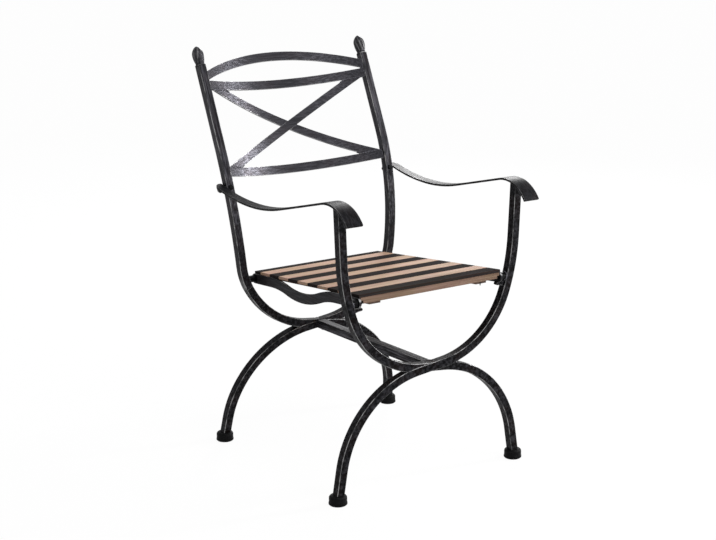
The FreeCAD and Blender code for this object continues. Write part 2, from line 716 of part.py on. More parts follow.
# Tubes cut to length at the feet and under the arms
cap_floor = size("cap_floor")
floor_box = box("floor_box", arm_outer * 3, arm_outer * 4, overrun + cap_floor)
place(floor_box, -(arm_outer * 3 / 2), -(arm_outer * 2), -overrun)
arm_tool_mirror = mirror("arm_tool_mirror", arm_tool)
front_through = cut("front_frame_through", through, floor_box, arm_tool, frame_holes["front"])
front_lower_left = cut("front_frame_lower", front_lower, through_tool, floor_box)
front_upper_right = cut("front_frame_upper", front_upper, through_tool, arm_tool_mirror,
                        frame_holes["front_mirror"])
node("front_tube_through", front_through)
node("front_tube_lower", front_lower_left)
node("front_tube_upper", front_upper_right)
rear_leg_cut = cut("rear_leg_left_cut", rear_leg_body, mitre, floor_box)
pair("rear_leg", rear_leg_cut)
pair("rear_branch", cut("rear_branch_cut", rear_branch, mitre, rear_tool))

# Arm lugs behind the posts, each with a bolt through the post
lug_z = size("arm_low_z") + size("lug_rise")
lug_thickness = size("lug_thickness")


def post_at(height):
    """Centre of the post and its direction at a height within the recline bend."""
    start, first, second, top, way_in, way_up, way_back = post_points()
    inward = (way_back - way_up * way_back.dot(way_up)).normalize()
    low, high = 0.0, way_up.getAngle(way_back)
    for _ in range(60):
        middle = (low + high) / 2
        radius = recline_radius.number
        point = first + way_up * (radius * math.sin(middle)) + inward * (radius * (1 - math.cos(middle)))
        if point.z < height:
            low = middle
        else:
            high = middle
    return point, (way_up * math.cos(middle) + inward * math.sin(middle))


lug_point, lug_way = post_at(lug_z.number)
lug_tilt = math.degrees(math.atan2(lug_way.y, lug_way.z))
lug_turn = Rotation(Vector(1, 0, 0), -lug_tilt)
lug = new_body("lug_plate")
lug_out = arm_outer - arm_corner / 2 - Size(lug_point.x, "%.6f" % lug_point.x)
lug_half = size("lug_height") / 2
lug_corner = size("lug_corner")
lug_outline = outline(lug, "lug_outline", "XZ_Plane", [
    (-size("lug_inner"), lug_half), (-size("lug_inner"), -lug_half),
    (lug_out - lug_corner, -lug_half, lug_corner, 1),
    (lug_out, -(lug_half - lug_corner)), (lug_out, lug_half)])
pad(lug, "lug_pad", lug_outline, lug_thickness)
lug_back = half_tube + gap + lug_thickness
lug.Placement = Placement(lug_point + lug_turn.multVec(Vector(0, lug_back.number, 0)), lug_turn)
bolt_turn = lug_turn.multiply(Rotation(Vector(1, 0, 0), -90))


def along_bolt(distance, thing):
    thing.Placement = Placement(lug_point + lug_turn.multVec(Vector(0, distance, 0)), bolt_turn)
    return thing


arm_bolt_radius = size("arm_bolt") / 2
bolt_tail = lug_back + size("arm_nut_height") + size("arm_bolt_tail")
shank = along_bolt(-half_tube.number, cylinder("arm_bolt_shank", arm_bolt_radius, half_tube + bolt_tail))
head = along_bolt(-half_tube.number - size("arm_bolt_head_height").number,
                  cylinder("arm_bolt_head_disc", size("arm_bolt_head_radius"), size("arm_bolt_head_height")))
head_edge = doc.addObject("Part::Fillet", "arm_bolt_head_round")
head_edge.Base = head
doc.recompute()
front_edges = [index + 1 for index, edge in enumerate(head.Shape.Edges)
               if abs((edge.CenterOfMass - head.Placement.Base).Length) < arm_bolt_radius.number * 0.01]
dome = (size("arm_bolt_head_height") * size("arm_bolt_dome_share")).number
head_edge.Edges = [(front_edges[0], dome, dome)]
doc.recompute()
bolt_hole = along_bolt(-tube.number, cylinder("arm_bolt_hole", arm_bolt_radius + gap, tube * 3))
arm_bolt = fuse("arm_bolt_piece", shank, head_edge)
arm_nut_blank = doc.addObject("Part::Prism", "arm_nut_blank")
arm_nut_blank.Polygon = 6
bind(arm_nut_blank, "Circumradius", size("arm_nut_radius"))
bind(arm_nut_blank, "Height", size("arm_nut_height"))
along_bolt(lug_back.number, arm_nut_blank)
arm_nut = cut("arm_nut_piece", arm_nut_blank, bolt_hole)
pair("arm_lug", cut("arm_lug_piece", lug, arm_band, post_tool, bolt_hole))
node("arm_bolts", compound("arm_bolts", arm_bolt, mirror("arm_bolt_mirror", arm_bolt)))
node("arm_nuts", compound("arm_nuts", arm_nut, mirror("arm_nut_mirror", arm_nut)))
pair("back_post", cut("back_post_piece", back_post, bolt_hole, frame_holes["rear"]))

# Foot caps: round-shouldered caps on a slightly wider ring, each with a socket for its leg
cap_radius = size("cap_radius")
ring_height = size("cap_ring_height")
shoulder = size("cap_shoulder_radius")
cap_height = size("cap_height")
cap_edge = size("cap_edge")
front_foot_x = (straight * cosine(cross) + leg_radius * (sine(leg_angle) - sine(cross))
                + (front_leg - cap_height / 2 / sine(leg_angle)) * cosine(leg_angle))
rear_foot_x = (rear_straight * cosine(rear_cross)
               + rear_leg_radius * (sine(rear_leg_angle) - sine(rear_cross))
               + (rear_leg - cap_height / 2 / sine(rear_leg_angle)) * cosine(rear_leg_angle))
rear_foot_y = rear_y + (rear_cross_z - cap_height / 2) * tangent(rake)
for name, x, y, leg in (("front", front_foot_x, front_y, front_lower_left),
                        ("rear", rear_foot_x, rear_foot_y, rear_leg_cut)):
    cap = turned("%s_cap" % name, [
        (ZERO, ZERO), (cap_radius - cap_edge / 3, ZERO), (cap_radius, cap_edge / 3),
        (cap_radius, ring_height), (shoulder, ring_height), (shoulder, cap_height - cap_edge, cap_edge, 1),
        (shoulder - cap_edge, cap_height), (ZERO, cap_height)])
    place(cap, x, y, ZERO)
    pair("foot_cap_%s" % name, cut("%s_cap_piece" % name, cap, leg))

# Finials on the post tops
start, first, second, top, way_in, way_up, way_back = post_points()
top_turn = Rotation(Vector(1, 0, 0), -recline.number)
finial_washer = cylinder("finial_washer_disc", size("finial_washer_radius"), size("finial_washer_height"))
finial_washer.Placement = Placement(top, top_turn)
neck = size("finial_neck_radius")
widest = size("finial_widest")
finial_radius = size("finial_radius")
finial_height = size("finial_height")
tip = size("finial_tip_radius")
lower_rise = widest - size("finial_neck_height")
lower_run = finial_radius - neck
lower_arc = (lower_rise * lower_rise + lower_run * lower_run) / (lower_run * 2)
upper_rise = finial_height - widest
upper_run = finial_radius - tip
upper_arc = (upper_rise * upper_rise + upper_run * upper_run) / (upper_run * 2)
finial = turned("finial_piece", [
    (ZERO, ZERO), (neck, ZERO), (neck, size("finial_neck_height"), lower_arc, 1),
    (finial_radius, widest, upper_arc, 1), (tip, finial_height), (ZERO, finial_height)])
finial.Placement = Placement(top + way_back * size("finial_washer_height").number, top_turn)
doc.recompute()
pair("finial", finial)
node("finial_washers", compound("finial_washers", finial_washer,
                                mirror("finial_washer_mirror", finial_washer)))

# Stretcher between the two crossings, its rear end cut to the raked arch
stretcher_half = size("stretcher_height") / 2
stretcher_body = new_body("stretcher_bar")
front_end = front_y + half_tube + gap
rear_end = rear_y - half_tube / cosine(rake) - gap
stretcher_outline = outline(stretcher_body, "stretcher_outline", "YZ_Plane", [
    (front_end, front_cross_z - stretcher_half), (rear_end + stretcher_half * tangent(rake),
                                                  rear_cross_z - stretcher_half),
    (rear_end - stretcher_half * tangent(rake), rear_cross_z + stretcher_half),
    (front_end, front_cross_z + stretcher_half)])
pad(stretcher_body, "stretcher_pad", stretcher_outline, size("stretcher_width"), True)
bolt_y = rear_end - size("stretcher_bolt_inset")
bolt_top = rear_cross_z - stretcher_half + size("stretcher_bolt_depth")
stretcher_shank = cylinder("stretcher_shank", size("stretcher_bolt") / 4,
                           size("stretcher_bolt_depth") + size("stretcher_bolt_drop") / 2)
place(stretcher_shank, ZERO, bolt_y,
      bolt_top - size("stretcher_bolt_depth") - size("stretcher_bolt_drop") / 2)
stretcher_head = cylinder("stretcher_head", size("stretcher_bolt") / 2, size("stretcher_bolt_drop"))
place(stretcher_head, ZERO, bolt_y, bolt_top - size("stretcher_bolt_depth") - size("stretcher_bolt_drop"))
bolt_piece = fuse("stretcher_bolt_piece", stretcher_shank, stretcher_head)
node("stretcher", cut("stretcher_piece", stretcher_body, bolt_piece))
node("stretcher_bolt", bolt_piece)

# Back rails lie on one bowed surface between the posts, in a frame reclined with them
inner_half = Size(second.x, "%.6f" % second.x) - half_tube - gap
bow = size("back_bow")
bow_radius = (inner_half * inner_half + bow * bow) / (bow * 2)
back_z = size("back_origin_z")
back_post_point = post_at(back_z.number)[0]
back_y = Size(back_post_point.y, "%.6f" % back_post_point.y)
bottom_half = Size(back_post_point.x, "%.6f" % back_post_point.x) - half_tube - gap
back_slope = size("back_slope_angle")
back_turn = about("x", -back_slope)
rail_thickness = size("rail_thickness")
shell_height = size("arch_level") + size("arch_rise") + size("arch_height") * 2
shell_outer = cylinder("shell_outer", bow_radius + rail_thickness / 2, shell_height)
shell_inner = cylinder("shell_inner", bow_radius - rail_thickness / 2, shell_height)
shell_drop = size("arch_height")
shell_back = bow - bow_radius
for cylinder_piece in (shell_outer, shell_inner):
    place(cylinder_piece, ZERO, back_y + shell_back * cosine(back_slope) - shell_drop * sine(back_slope),
          back_z - shell_back * sine(back_slope) - shell_drop * cosine(back_slope), back_turn)
shell = cut("back_shell", shell_outer, shell_inner)


def back_rail(label, corners):
    body = new_body(label + "_face")
    face = outline(body, label + "_outline", "XZ_Plane", corners, -(bow + rail_thickness * 2))
    pad(body, label + "_pad", face, (bow + rail_thickness * 2) * 2)
    place(body, ZERO, back_y, back_z, back_turn)
    node(label, common(label, body, shell))


def level_rail(label, middle, reach):
    half = size("rail_height") / 2
    back_rail(label, [(-reach, middle - half), (reach, middle - half), (reach, middle + half),
                      (-reach, middle + half)])


bottom_level = size("bottom_rail_level")
second_level = size("second_rail_level")
level_rail("back_bottom_rail", bottom_level, bottom_half)
level_rail("back_second_rail", second_level, inner_half)
arch_level = size("arch_level")
arch_rise = size("arch_rise")
arch_half = size("arch_height") / 2
arch_radius = (inner_half * inner_half + arch_rise * arch_rise) / (arch_rise * 2)
back_rail("back_arch_rail", [
    (-inner_half, arch_level - arch_half, arch_radius, -1), (inner_half, arch_level - arch_half),
    (inner_half, arch_level + arch_half, arch_radius, 1), (-inner_half, arch_level + arch_half)])

# Cross bars run from corner to corner; one is whole and the other is two halves against it
cross_low = size("cross_low_level")
cross_high = size("cross_high_level")
pitch = (cross_high - cross_low) / (inner_half * 2)
bar_half = size("cross_bar_height") / 2 * root(ONE + pitch * pitch)
low_level = bottom_level + size("rail_height") / 2 + gap
high_level = second_level - size("rail_height") / 2 - gap
middle_level = (cross_low + cross_high) / 2


def bar_x(s_height, side):
    """Where the rising bar's upper (+1) or lower (-1) edge reaches this height."""
    return (s_height - middle_level - bar_half * side) / pitch


back_rail("back_cross_bar", [
    (bar_x(low_level, 1), low_level), (bar_x(low_level, -1), low_level),
    (bar_x(high_level, -1), high_level), (bar_x(high_level, 1), high_level)])
edge_run = bar_half + gap
back_rail("back_cross_half_lower", [
    (-bar_x(low_level, -1), low_level), (-bar_x(low_level, 1), low_level),
    ((edge_run + bar_half) / pitch / 2, middle_level + (bar_half - edge_run) / 2),
    ((edge_run - bar_half) / pitch / 2, middle_level - (bar_half + edge_run) / 2)])
back_rail("back_cross_half_upper", [
    (-bar_x(high_level, 1), high_level), (-bar_x(high_level, -1), high_level),
    (-((edge_run + bar_half) / pitch / 2), middle_level - (bar_half - edge_run) / 2),
    (-((edge_run - bar_half) / pitch / 2), middle_level + (bar_half + edge_run) / 2)])

# Slatted seat in the seat frame's slope
slat_thickness = size("slat_thickness")
seat_depth = ((rear_y - front_y) / cosine(slope) + size("seat_front_overhang")
              - size("seat_rear_inset"))
rear_edge = -size("seat_rear_inset")
half_rear = size("seat_half_rear")
half_front = size("seat_half_front")
rear_slat = size("rear_slat")
slat_gap = size("slat_gap")
seat_base = side_height / 2 + size("seat_lift")
slat_count = int(size("slat_count").number)
full_slat = (seat_depth - rear_slat) / (slat_count - 1)
seat_turn = about("x", -slope)


def seat_half(distance):
    """Half width of the seat at a distance forward of its rear edge."""
    return half_rear + (half_front - half_rear) * distance / seat_depth


def slat(index):
    behind = ZERO if index == 0 else rear_slat + full_slat * (index - 1)
    width = rear_slat if index == 0 else full_slat
    near = behind + slat_gap / 2
    far = behind + width - slat_gap / 2
    label = "seat_slat_%02d" % (index + 1)
    body = new_body(label)
    shape = outline(body, label + "_outline", "XY_Plane", [
        (-seat_half(far), rear_edge - far), (seat_half(far), rear_edge - far),
        (seat_half(near), rear_edge - near), (-seat_half(near), rear_edge - near)], seat_base)
    board = pad(body, label + "_pad", shape, slat_thickness)
    top_z = (seat_base + slat_thickness).number
    edges = ["Edge%d" % (number + 1) for number, edge in enumerate(board.Shape.Edges)
             if abs(edge.CenterOfMass.z - top_z) < slat_gap.number * 0.01
             and edge.BoundBox.XLength > edge.BoundBox.YLength]
    rounding = body.newObject("PartDesign::Fillet", label + "_edges")
    rounding.Base = (board, edges)
    bind(rounding, "Radius", size("slat_edge"))
    doc.recompute()
    place(body, ZERO, rear_y, boss_z, seat_turn)
    node(label, body)


for number in range(slat_count):
    slat(number)

# Wooden front rail under the front slat, and a batten down each side with a heel behind the rail
front_edge = rear_edge - seat_depth
rail_depth = size("front_rail_depth")
front_height = size("front_rail_height")
wood = new_body("wood_front_blank")
wood_half = rail_front_x - side_thickness - size("wood_clearance")
wood_outline = outline(wood, "wood_front_outline", "XY_Plane", [
    (-wood_half, front_edge), (wood_half, front_edge), (wood_half, front_edge + rail_depth),
    (-wood_half, front_edge + rail_depth)], seat_base - front_height)
pad(wood, "wood_front_pad", wood_outline, front_height)
place(wood, ZERO, rear_y, boss_z, seat_turn)
node("seat_front_rail", cut("seat_front_rail_piece", wood, *nut_rooms[:2]))

batten = new_body("batten_blank")
batten_half = size("batten_width") / 2
batten_x = size("batten_x")
batten_front = front_edge + rail_depth + gap
batten_base = seat_base - size("batten_height")
heel_base = seat_base - size("heel_height")
heel_back = batten_front + size("heel_length")
batten_outline = outline(batten, "batten_outline", "XY_Plane", [
    (batten_x - batten_half, batten_front), (batten_x + batten_half, batten_front),
    (batten_x + batten_half, rear_edge - size("batten_rear_inset")),
    (batten_x - batten_half, rear_edge - size("batten_rear_inset"))], batten_base)
pad(batten, "batten_pad", batten_outline, size("batten_height"))
heel_outline = outline(batten, "heel_outline", "XY_Plane", [
    (batten_x - batten_half, batten_front), (batten_x + batten_half, batten_front),
    (batten_x + batten_half, heel_back), (batten_x - batten_half, heel_back)], heel_base)
pad(batten, "heel_pad", heel_outline, size("heel_height") - size("batten_height"))
place(batten, ZERO, rear_y, boss_z, seat_turn)
pair("seat_batten", batten)
screws = []
batten_rear = rear_edge - size("batten_rear_inset")
for name, along, underside in (("front", batten_front + size("heel_length") / 2, heel_base),
                               ("rear", batten_rear - size("screw_inset"), batten_base)):
    screw = cylinder("batten_%s_screw" % name, size("screw_radius"), size("screw_head"))
    lower = underside - size("screw_head")
    place(screw, batten_x, rear_y + along * cosine(slope) + lower * sine(slope),
          boss_z - along * sine(slope) + lower * cosine(slope), seat_turn)
    screws.extend([screw, mirror("batten_%s_screw_mirror" % name, screw)])
node("batten_screws", compound("batten_screws", *screws))

# Every object and every piece is checked before anything is written
doc.recompute()
failed = [thing.Label for thing in doc.Objects if "Invalid" in thing.State or "Error" in thing.State]
if failed:
    raise RuntimeError("failed: %s" % ", ".join(failed))
for label, thing in NODES:
    if thing.Shape.isNull() or not thing.Shape.isValid() or not thing.Shape.Solids:
        raise RuntimeError("%s has no valid shape" % label)

os.makedirs("parts", exist_ok=True)
for label, thing in NODES:
    thing.Shape.exportStep("parts/%s.step" % label)
    bounds = thing.Shape.BoundBox
    print("%-24s solids %2d volume %9.0f  x %7.1f %7.1f  y %7.1f %7.1f  z %7.1f %7.1f" % (
        label, len(thing.Shape.Solids), thing.Shape.Volume, bounds.XMin, bounds.XMax,
        bounds.YMin, bounds.YMax, bounds.ZMin, bounds.ZMax))
print("nodes", len(NODES))
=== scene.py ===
import math

import bmesh
import bpy
from bpy.props import FloatProperty, FloatVectorProperty, IntProperty, PointerProperty
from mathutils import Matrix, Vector


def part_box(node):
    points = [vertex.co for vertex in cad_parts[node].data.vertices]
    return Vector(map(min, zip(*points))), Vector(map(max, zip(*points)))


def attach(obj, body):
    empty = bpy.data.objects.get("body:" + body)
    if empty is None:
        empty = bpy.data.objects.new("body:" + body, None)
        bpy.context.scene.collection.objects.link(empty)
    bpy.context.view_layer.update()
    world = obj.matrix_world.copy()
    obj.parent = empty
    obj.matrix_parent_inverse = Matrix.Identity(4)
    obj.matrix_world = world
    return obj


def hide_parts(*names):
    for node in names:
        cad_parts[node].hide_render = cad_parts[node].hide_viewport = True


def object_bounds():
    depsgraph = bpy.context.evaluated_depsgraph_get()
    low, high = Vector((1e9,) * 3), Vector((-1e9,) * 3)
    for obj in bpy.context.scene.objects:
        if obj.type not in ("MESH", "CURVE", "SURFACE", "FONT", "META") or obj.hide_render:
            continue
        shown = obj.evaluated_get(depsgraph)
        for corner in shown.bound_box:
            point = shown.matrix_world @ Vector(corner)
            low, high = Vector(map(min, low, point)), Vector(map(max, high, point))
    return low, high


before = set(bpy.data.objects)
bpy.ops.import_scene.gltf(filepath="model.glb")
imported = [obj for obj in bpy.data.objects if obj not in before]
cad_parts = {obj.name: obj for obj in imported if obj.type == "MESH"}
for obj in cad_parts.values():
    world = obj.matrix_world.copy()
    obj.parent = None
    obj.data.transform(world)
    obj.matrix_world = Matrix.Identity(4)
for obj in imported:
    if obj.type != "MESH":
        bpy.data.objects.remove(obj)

bl_info = {
    "name": "Garden Armchair",
    "version": (1, 0, 0),
    "blender": (4, 5, 0),
    "location": "3D View > Sidebar > Armchair",
    "description": "Finishes, welds, buds and studio for a crossed-frame garden armchair",
    "category": "Object",
}

BODY = "root"
CAD_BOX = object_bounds()

# Each side, and the way along X that leads out of the chair there
OUTWARD = {"left": 1, "right": -1}

# Slope of the back posts' tops and of the rails' surface, and the rear legs' lean
POST_RECLINE = math.radians(24.35)
BACK_SLOPE = math.radians(22.8)
LEG_RAKE = math.radians(10)

# Range of a Map Range node that takes in most of a noise texture's values
OVER_NOISE = {"From Min": 0.3, "From Max": 0.7}

# Sockets of a colour Mix node, by index because their names stand there more than once
SHARE = 0
BELOW = 6
ABOVE = 7
MIXED = 2

# Rays that a Bevel node casts to find a corner
CORNER_SAMPLES = 6

# Layout of a tree in the editor: nodes to a row, and the step to the next one and the next row
NODES_TO_ROW = 12
NODE_STEP = 230
ROW_STEP = -260


def linear(hex_colour):
    """Linear RGBA of an sRGB hex colour such as #1f2023."""
    channels = [int(hex_colour[start:start + 2], 16) / 255 for start in (1, 3, 5)]
    return (*[c / 12.92 if c <= 0.04045 else ((c + 0.055) / 1.055) ** 2.4 for c in channels], 1.0)


def mm(*lengths):
    """Millimetres as metres: one number, or a tuple of them."""
    return lengths[0] / 1000 if len(lengths) == 1 else tuple(length / 1000 for length in lengths)


def colour_property(name, hex_colour, description):
    """A colour swatch whose default is a hex colour."""
    return FloatVectorProperty(name=name, description=description, subtype="COLOR", size=4, min=0, max=1,
                               default=linear(hex_colour))


def length_property(name, millimetres, description):
    """A length in metres whose default is given in millimetres."""
    return FloatProperty(name=name, description=description, unit="LENGTH", default=mm(millimetres), min=0,
                         precision=5)


class ArmchairPaint(bpy.types.PropertyGroup):
    """The antiqued black paint of tubes and flat bars."""
    black: colour_property("Black", "#070708", "Enamel in the hollows")
    umber: colour_property("Umber", "#100b0b", "Warm cast of the thinner coats")
    silver: colour_property("Silver", "#8c8b94", "Silver wax brushed over the black")
    ridge: colour_property("Ridge", "#b4b4b4", "Silver rubbed onto the corners")
    corner: length_property("Corner", 1.7, "Width of the rubbed corner on each side")
    fleck: length_property("Fleck", 1.4, "Size of the brush's broken marks")
    patch: length_property("Patch", 38, "Length over which the rubbing comes and goes")


class ArmchairWood(bpy.types.PropertyGroup):
    """The slats, the front rail and the battens."""
    dark: colour_property("Dark stain", "#201d1d", "Black stain of every other slat")
    dark_grain: colour_property("Dark grain", "#34302f", "Where the stain lets the grain through")
    tan: colour_property("Tan", "#c1a28e", "Oiled face of the pale slats")
    # The edge colour is painted shade: the dark lines that fall in the gaps between boards
    edge: colour_property("Edge", "#33211a", "Long edges, dark from stain and wear")
    tan_grain: colour_property("Tan grain", "#ab8872", "Late wood and pores of the pale slats")
    brown: colour_property("Brown", "#7c6759", "Face of the front rail and battens")
    brown_grain: colour_property("Brown grain", "#604b40", "Late wood of the front rail and battens")
    ring: length_property("Ring", 2.6, "Distance between growth lines on a face")
    # The edge width is how wide the painted shade line along each edge is drawn
    shade_edge_width: length_property("Edge width", 1.8, "Width of the dark edge on each face, drawn to show")
    pore: length_property("Pore", 0.5, "Width of a pore, drawn coarse enough to show")


class ArmchairFittings(bpy.types.PropertyGroup):
    """Welds, buds, hardware and foot caps."""
    zinc: colour_property("Zinc", "#b9bbbd", "The plated bolt under the stretcher")
    oxide: colour_property("Black oxide", "#0b0b0c", "Bosses, nuts and small bolts")
    plastic: colour_property("Foot plastic", "#0d0d0e", "Moulded polyethylene")
    weld: length_property("Weld", 1.5, "Half width of a weld bead")
    ripple: length_property("Ripple", 2.4, "Distance between a bead's ripples")
    neck: length_property("Bud neck", 10.7, "Radius at the foot of a bud")
    neck_height: length_property("Bud neck height", 5, "Height of the bud's straight foot")
    belly: length_property("Bud belly", 14.2, "Largest radius of a bud")
    widest: length_property("Bud widest", 25, "Height of the bud's largest radius")
    tip: length_property("Bud tip", 2, "Radius of the bud's tip")
    flutes: IntProperty(name="Flutes", description="Lobes round a bud", default=9, min=3)
    flute_depth: FloatProperty(name="Flute depth", description="Depth as a share of the radius",
                               default=0.06, min=0, max=0.5)
    flute_turn: FloatProperty(name="Flute turn", description="Twist of the lobes from foot to tip",
                              subtype="ANGLE", default=math.radians(38))


class ArmchairStudio(bpy.types.PropertyGroup):
    """Floor, light and camera."""
    paper: colour_property("Paper", "#fafafa", "Floor and backdrop")
    ambient: FloatProperty(name="Ambient", description="Even light from all round", default=0.42, min=0)
    key: FloatProperty(name="Key", description="Soft light from above the front", default=1.15, min=0)
    low: FloatProperty(name="Low box", description="Soft box low in front, at the sitter's left, in watts",
                       default=24, min=0)
    rear: FloatProperty(name="Rear box", description="Soft box high behind, at the sitter's left, in watts",
                        default=48, min=0)
    side: FloatProperty(name="Side", description="Strip light at the sitter's left, in watts", default=62, min=0)
    shadow: FloatProperty(name="Shadow", description="Share of the floor's shadow that shows", default=0.05,
                          min=0, max=1)


def add(tree, kind, inputs=None, out=0, **settings):
    """Adds one shader node with its settings, sets or links its inputs, and returns one output."""
    made = tree.nodes.new("ShaderNode" + kind)
    row, column = divmod(len(tree.nodes), NODES_TO_ROW)
    made.location = (NODE_STEP * column, ROW_STEP * row)
    for name, value in settings.items():
        setattr(made, name, value)
    for key, value in (inputs or {}).items():
        if isinstance(value, bpy.types.NodeSocket):
            tree.links.new(value, made.inputs[key])
        else:
            made.inputs[key].default_value = value
    return made.outputs[out]


def surface(name, **fixed):
    """A new material, its tree, its shader's sockets with the fixed ones set, and a way to link into them."""
    material = bpy.data.materials.new(name)
    material.use_nodes = True
    tree = material.node_tree
    shader = tree.nodes["Principled BSDF"]
    for socket, value in fixed.items():
        shader.inputs[socket.replace("_", " ")].default_value = value

    def feed(**linked):
        for socket, value in linked.items():
            tree.links.new(value, shader.inputs[socket.replace("_", " ")])

    return material, tree, feed


def marks(tree, place, sizes, turn=(0, 0, 0), detail=3.0, roughness=0.6):
    """Soft marks of these real sizes in metres along axes turned by these angles, from 0 to 1."""
    counted = add(tree, "Mapping", {"Vector": place, "Rotation": turn, "Scale": sizes}, vector_type="TEXTURE")
    return add(tree, "TexNoise", {"Vector": counted, "Scale": 1.0, "Detail": detail, "Roughness": roughness})


def corner_mask(tree, across, width):
    """1 along the corners of a bar whose faces lie along or square to the direction across."""
    rounded = add(tree, "Bevel", {"Radius": width}, samples=CORNER_SAMPLES)
    lean = add(tree, "VectorMath", {0: rounded, 1: across}, "Value", operation="DOT_PRODUCT")
    squared = add(tree, "Math", {0: lean, 1: lean}, operation="MULTIPLY")
    rest = add(tree, "Math", {0: 1.0, 1: squared}, operation="SUBTRACT")
    both_ways = add(tree, "Math", {0: squared, 1: rest}, operation="MULTIPLY")
    return add(tree, "MapRange", {"Value": both_ways, "From Min": 0.05, "From Max": 0.22},
               interpolation_type="SMOOTHSTEP")


# What the brush's broken marks count for beside the broad patches, and beside its strokes
FLECK_IN_WEAR = 0.45
FLECK_IN_RELIEF = 0.4

# How far the enamel's roughness goes to either side, smoother where it is waxed
SATIN_SPREAD = 0.05


def antiqued_enamel(name, paint, across, brush, turn=(0, 0, 0), silvered=(0.0, 0.1), metallic=0.2, rough=0.42,
                    painted_shade_heights=None):
    """Black enamel on steel, brushed with silver wax and rubbed through at the corners.

    The hollows stay black and satin. The wax is a thin film of metal flake in soft strokes along
    the bar, so a waxed face is graphite grey and catches a lamp, and the rubbed corners are thin
    bright lines that come and go. Silvered is the share of the black that the film hides, between
    strokes and in them. Across is the direction that a bar's faces lie along; a rounded piece has
    none, and its ridges are marked on its mesh. The last argument gives two heights between which
    the film thins out downward: painted shade, which makes the lower part darker.
    """
    material, tree, feed = surface(name, Specular_IOR_Level=0.03)
    place = add(tree, "TexCoord", out="Object")
    patch = marks(tree, place, (paint.patch,) * 3)
    fleck = marks(tree, place, (paint.fleck,) * 3, detail=4.0)
    stroke = marks(tree, place, brush, turn, detail=4.0)

    # The corner shows where patch and fleck together are high, and thins out between
    worn = add(tree, "Math", {0: fleck, 1: FLECK_IN_WEAR, 2: patch}, operation="MULTIPLY_ADD")
    bare = add(tree, "MapRange", {"Value": worn, "From Min": 0.6, "From Max": 0.86, "To Min": 0.1, "To Max": 0.7},
               interpolation_type="SMOOTHSTEP")
    if across is None:
        ridge = add(tree, "Attribute", out="Fac", attribute_name="ridge")
    else:
        ridge = corner_mask(tree, across, paint.corner)
    corner = add(tree, "Math", {0: ridge, 1: bare}, operation="MULTIPLY")

    # The film thins between strokes, and flecks break it up a little
    broken = add(tree, "MapRange", {"Value": fleck, **OVER_NOISE, "To Min": 0.75, "To Max": 1.25})
    streak = add(tree, "MapRange", {"Value": stroke, "From Min": 0.38, "From Max": 0.72, "To Min": silvered[0],
                                    "To Max": silvered[1]}, interpolation_type="SMOOTHSTEP")
    film = add(tree, "Math", {0: streak, 1: broken}, operation="MULTIPLY")
    # Painted shade: below these heights the film thins, so the lower part is drawn darker
    if painted_shade_heights is not None:
        height = add(tree, "SeparateXYZ", {0: place}, out="Z")
        reach = add(tree, "MapRange", {"Value": height, "From Min": painted_shade_heights[0], "From Max": painted_shade_heights[1], "To Min": 0.4})
        film = add(tree, "Math", {0: film, 1: reach}, operation="MULTIPLY")

    warm = add(tree, "MapRange", {"Value": patch, "From Min": 0.42, "From Max": 0.62},
               interpolation_type="SMOOTHSTEP")
    ground = add(tree, "Mix", {SHARE: warm, BELOW: tuple(paint.black), ABOVE: tuple(paint.umber)}, MIXED,
                 data_type="RGBA")
    waxed = add(tree, "Mix", {SHARE: film, BELOW: ground, ABOVE: tuple(paint.silver)}, MIXED, data_type="RGBA")
    colour = add(tree, "Mix", {SHARE: corner, BELOW: waxed, ABOVE: tuple(paint.ridge)}, MIXED, data_type="RGBA")
    flake = add(tree, "MapRange", {"Value": corner, "To Min": metallic, "To Max": 0.85})
    relief = add(tree, "Math", {0: fleck, 1: FLECK_IN_RELIEF, 2: stroke}, operation="MULTIPLY_ADD")
    feed(Base_Color=colour, Metallic=flake,
         Roughness=add(tree, "MapRange", {"Value": stroke, **OVER_NOISE, "To Min": rough + SATIN_SPREAD,
                                          "To Max": rough - SATIN_SPREAD}),
         Normal=add(tree, "Bump", {"Height": relief, "Distance": mm(0.1)}))
    return material


# How far the wood's cast drifts to either side of its colour
PINK_CAST = (1.05, 0.98, 1.0, 1.0)
STRAW_CAST = (1.0, 1.01, 0.9, 1.0)

# How far apart in the figure two boards can be cut, in metres
BOARD_SHIFT = (3.1, 1.7, 2.3)

# What the slow bends count for in the figure, and the pores, which are hollow, in the relief
BEND_IN_FIGURE = 0.4
PORES_IN_RELIEF = -0.8

# Share of the painted shade colour on a board's rounded edges, for the dark gaps between boards
PAINTED_SHADE_EDGE_SHARE = 0.85


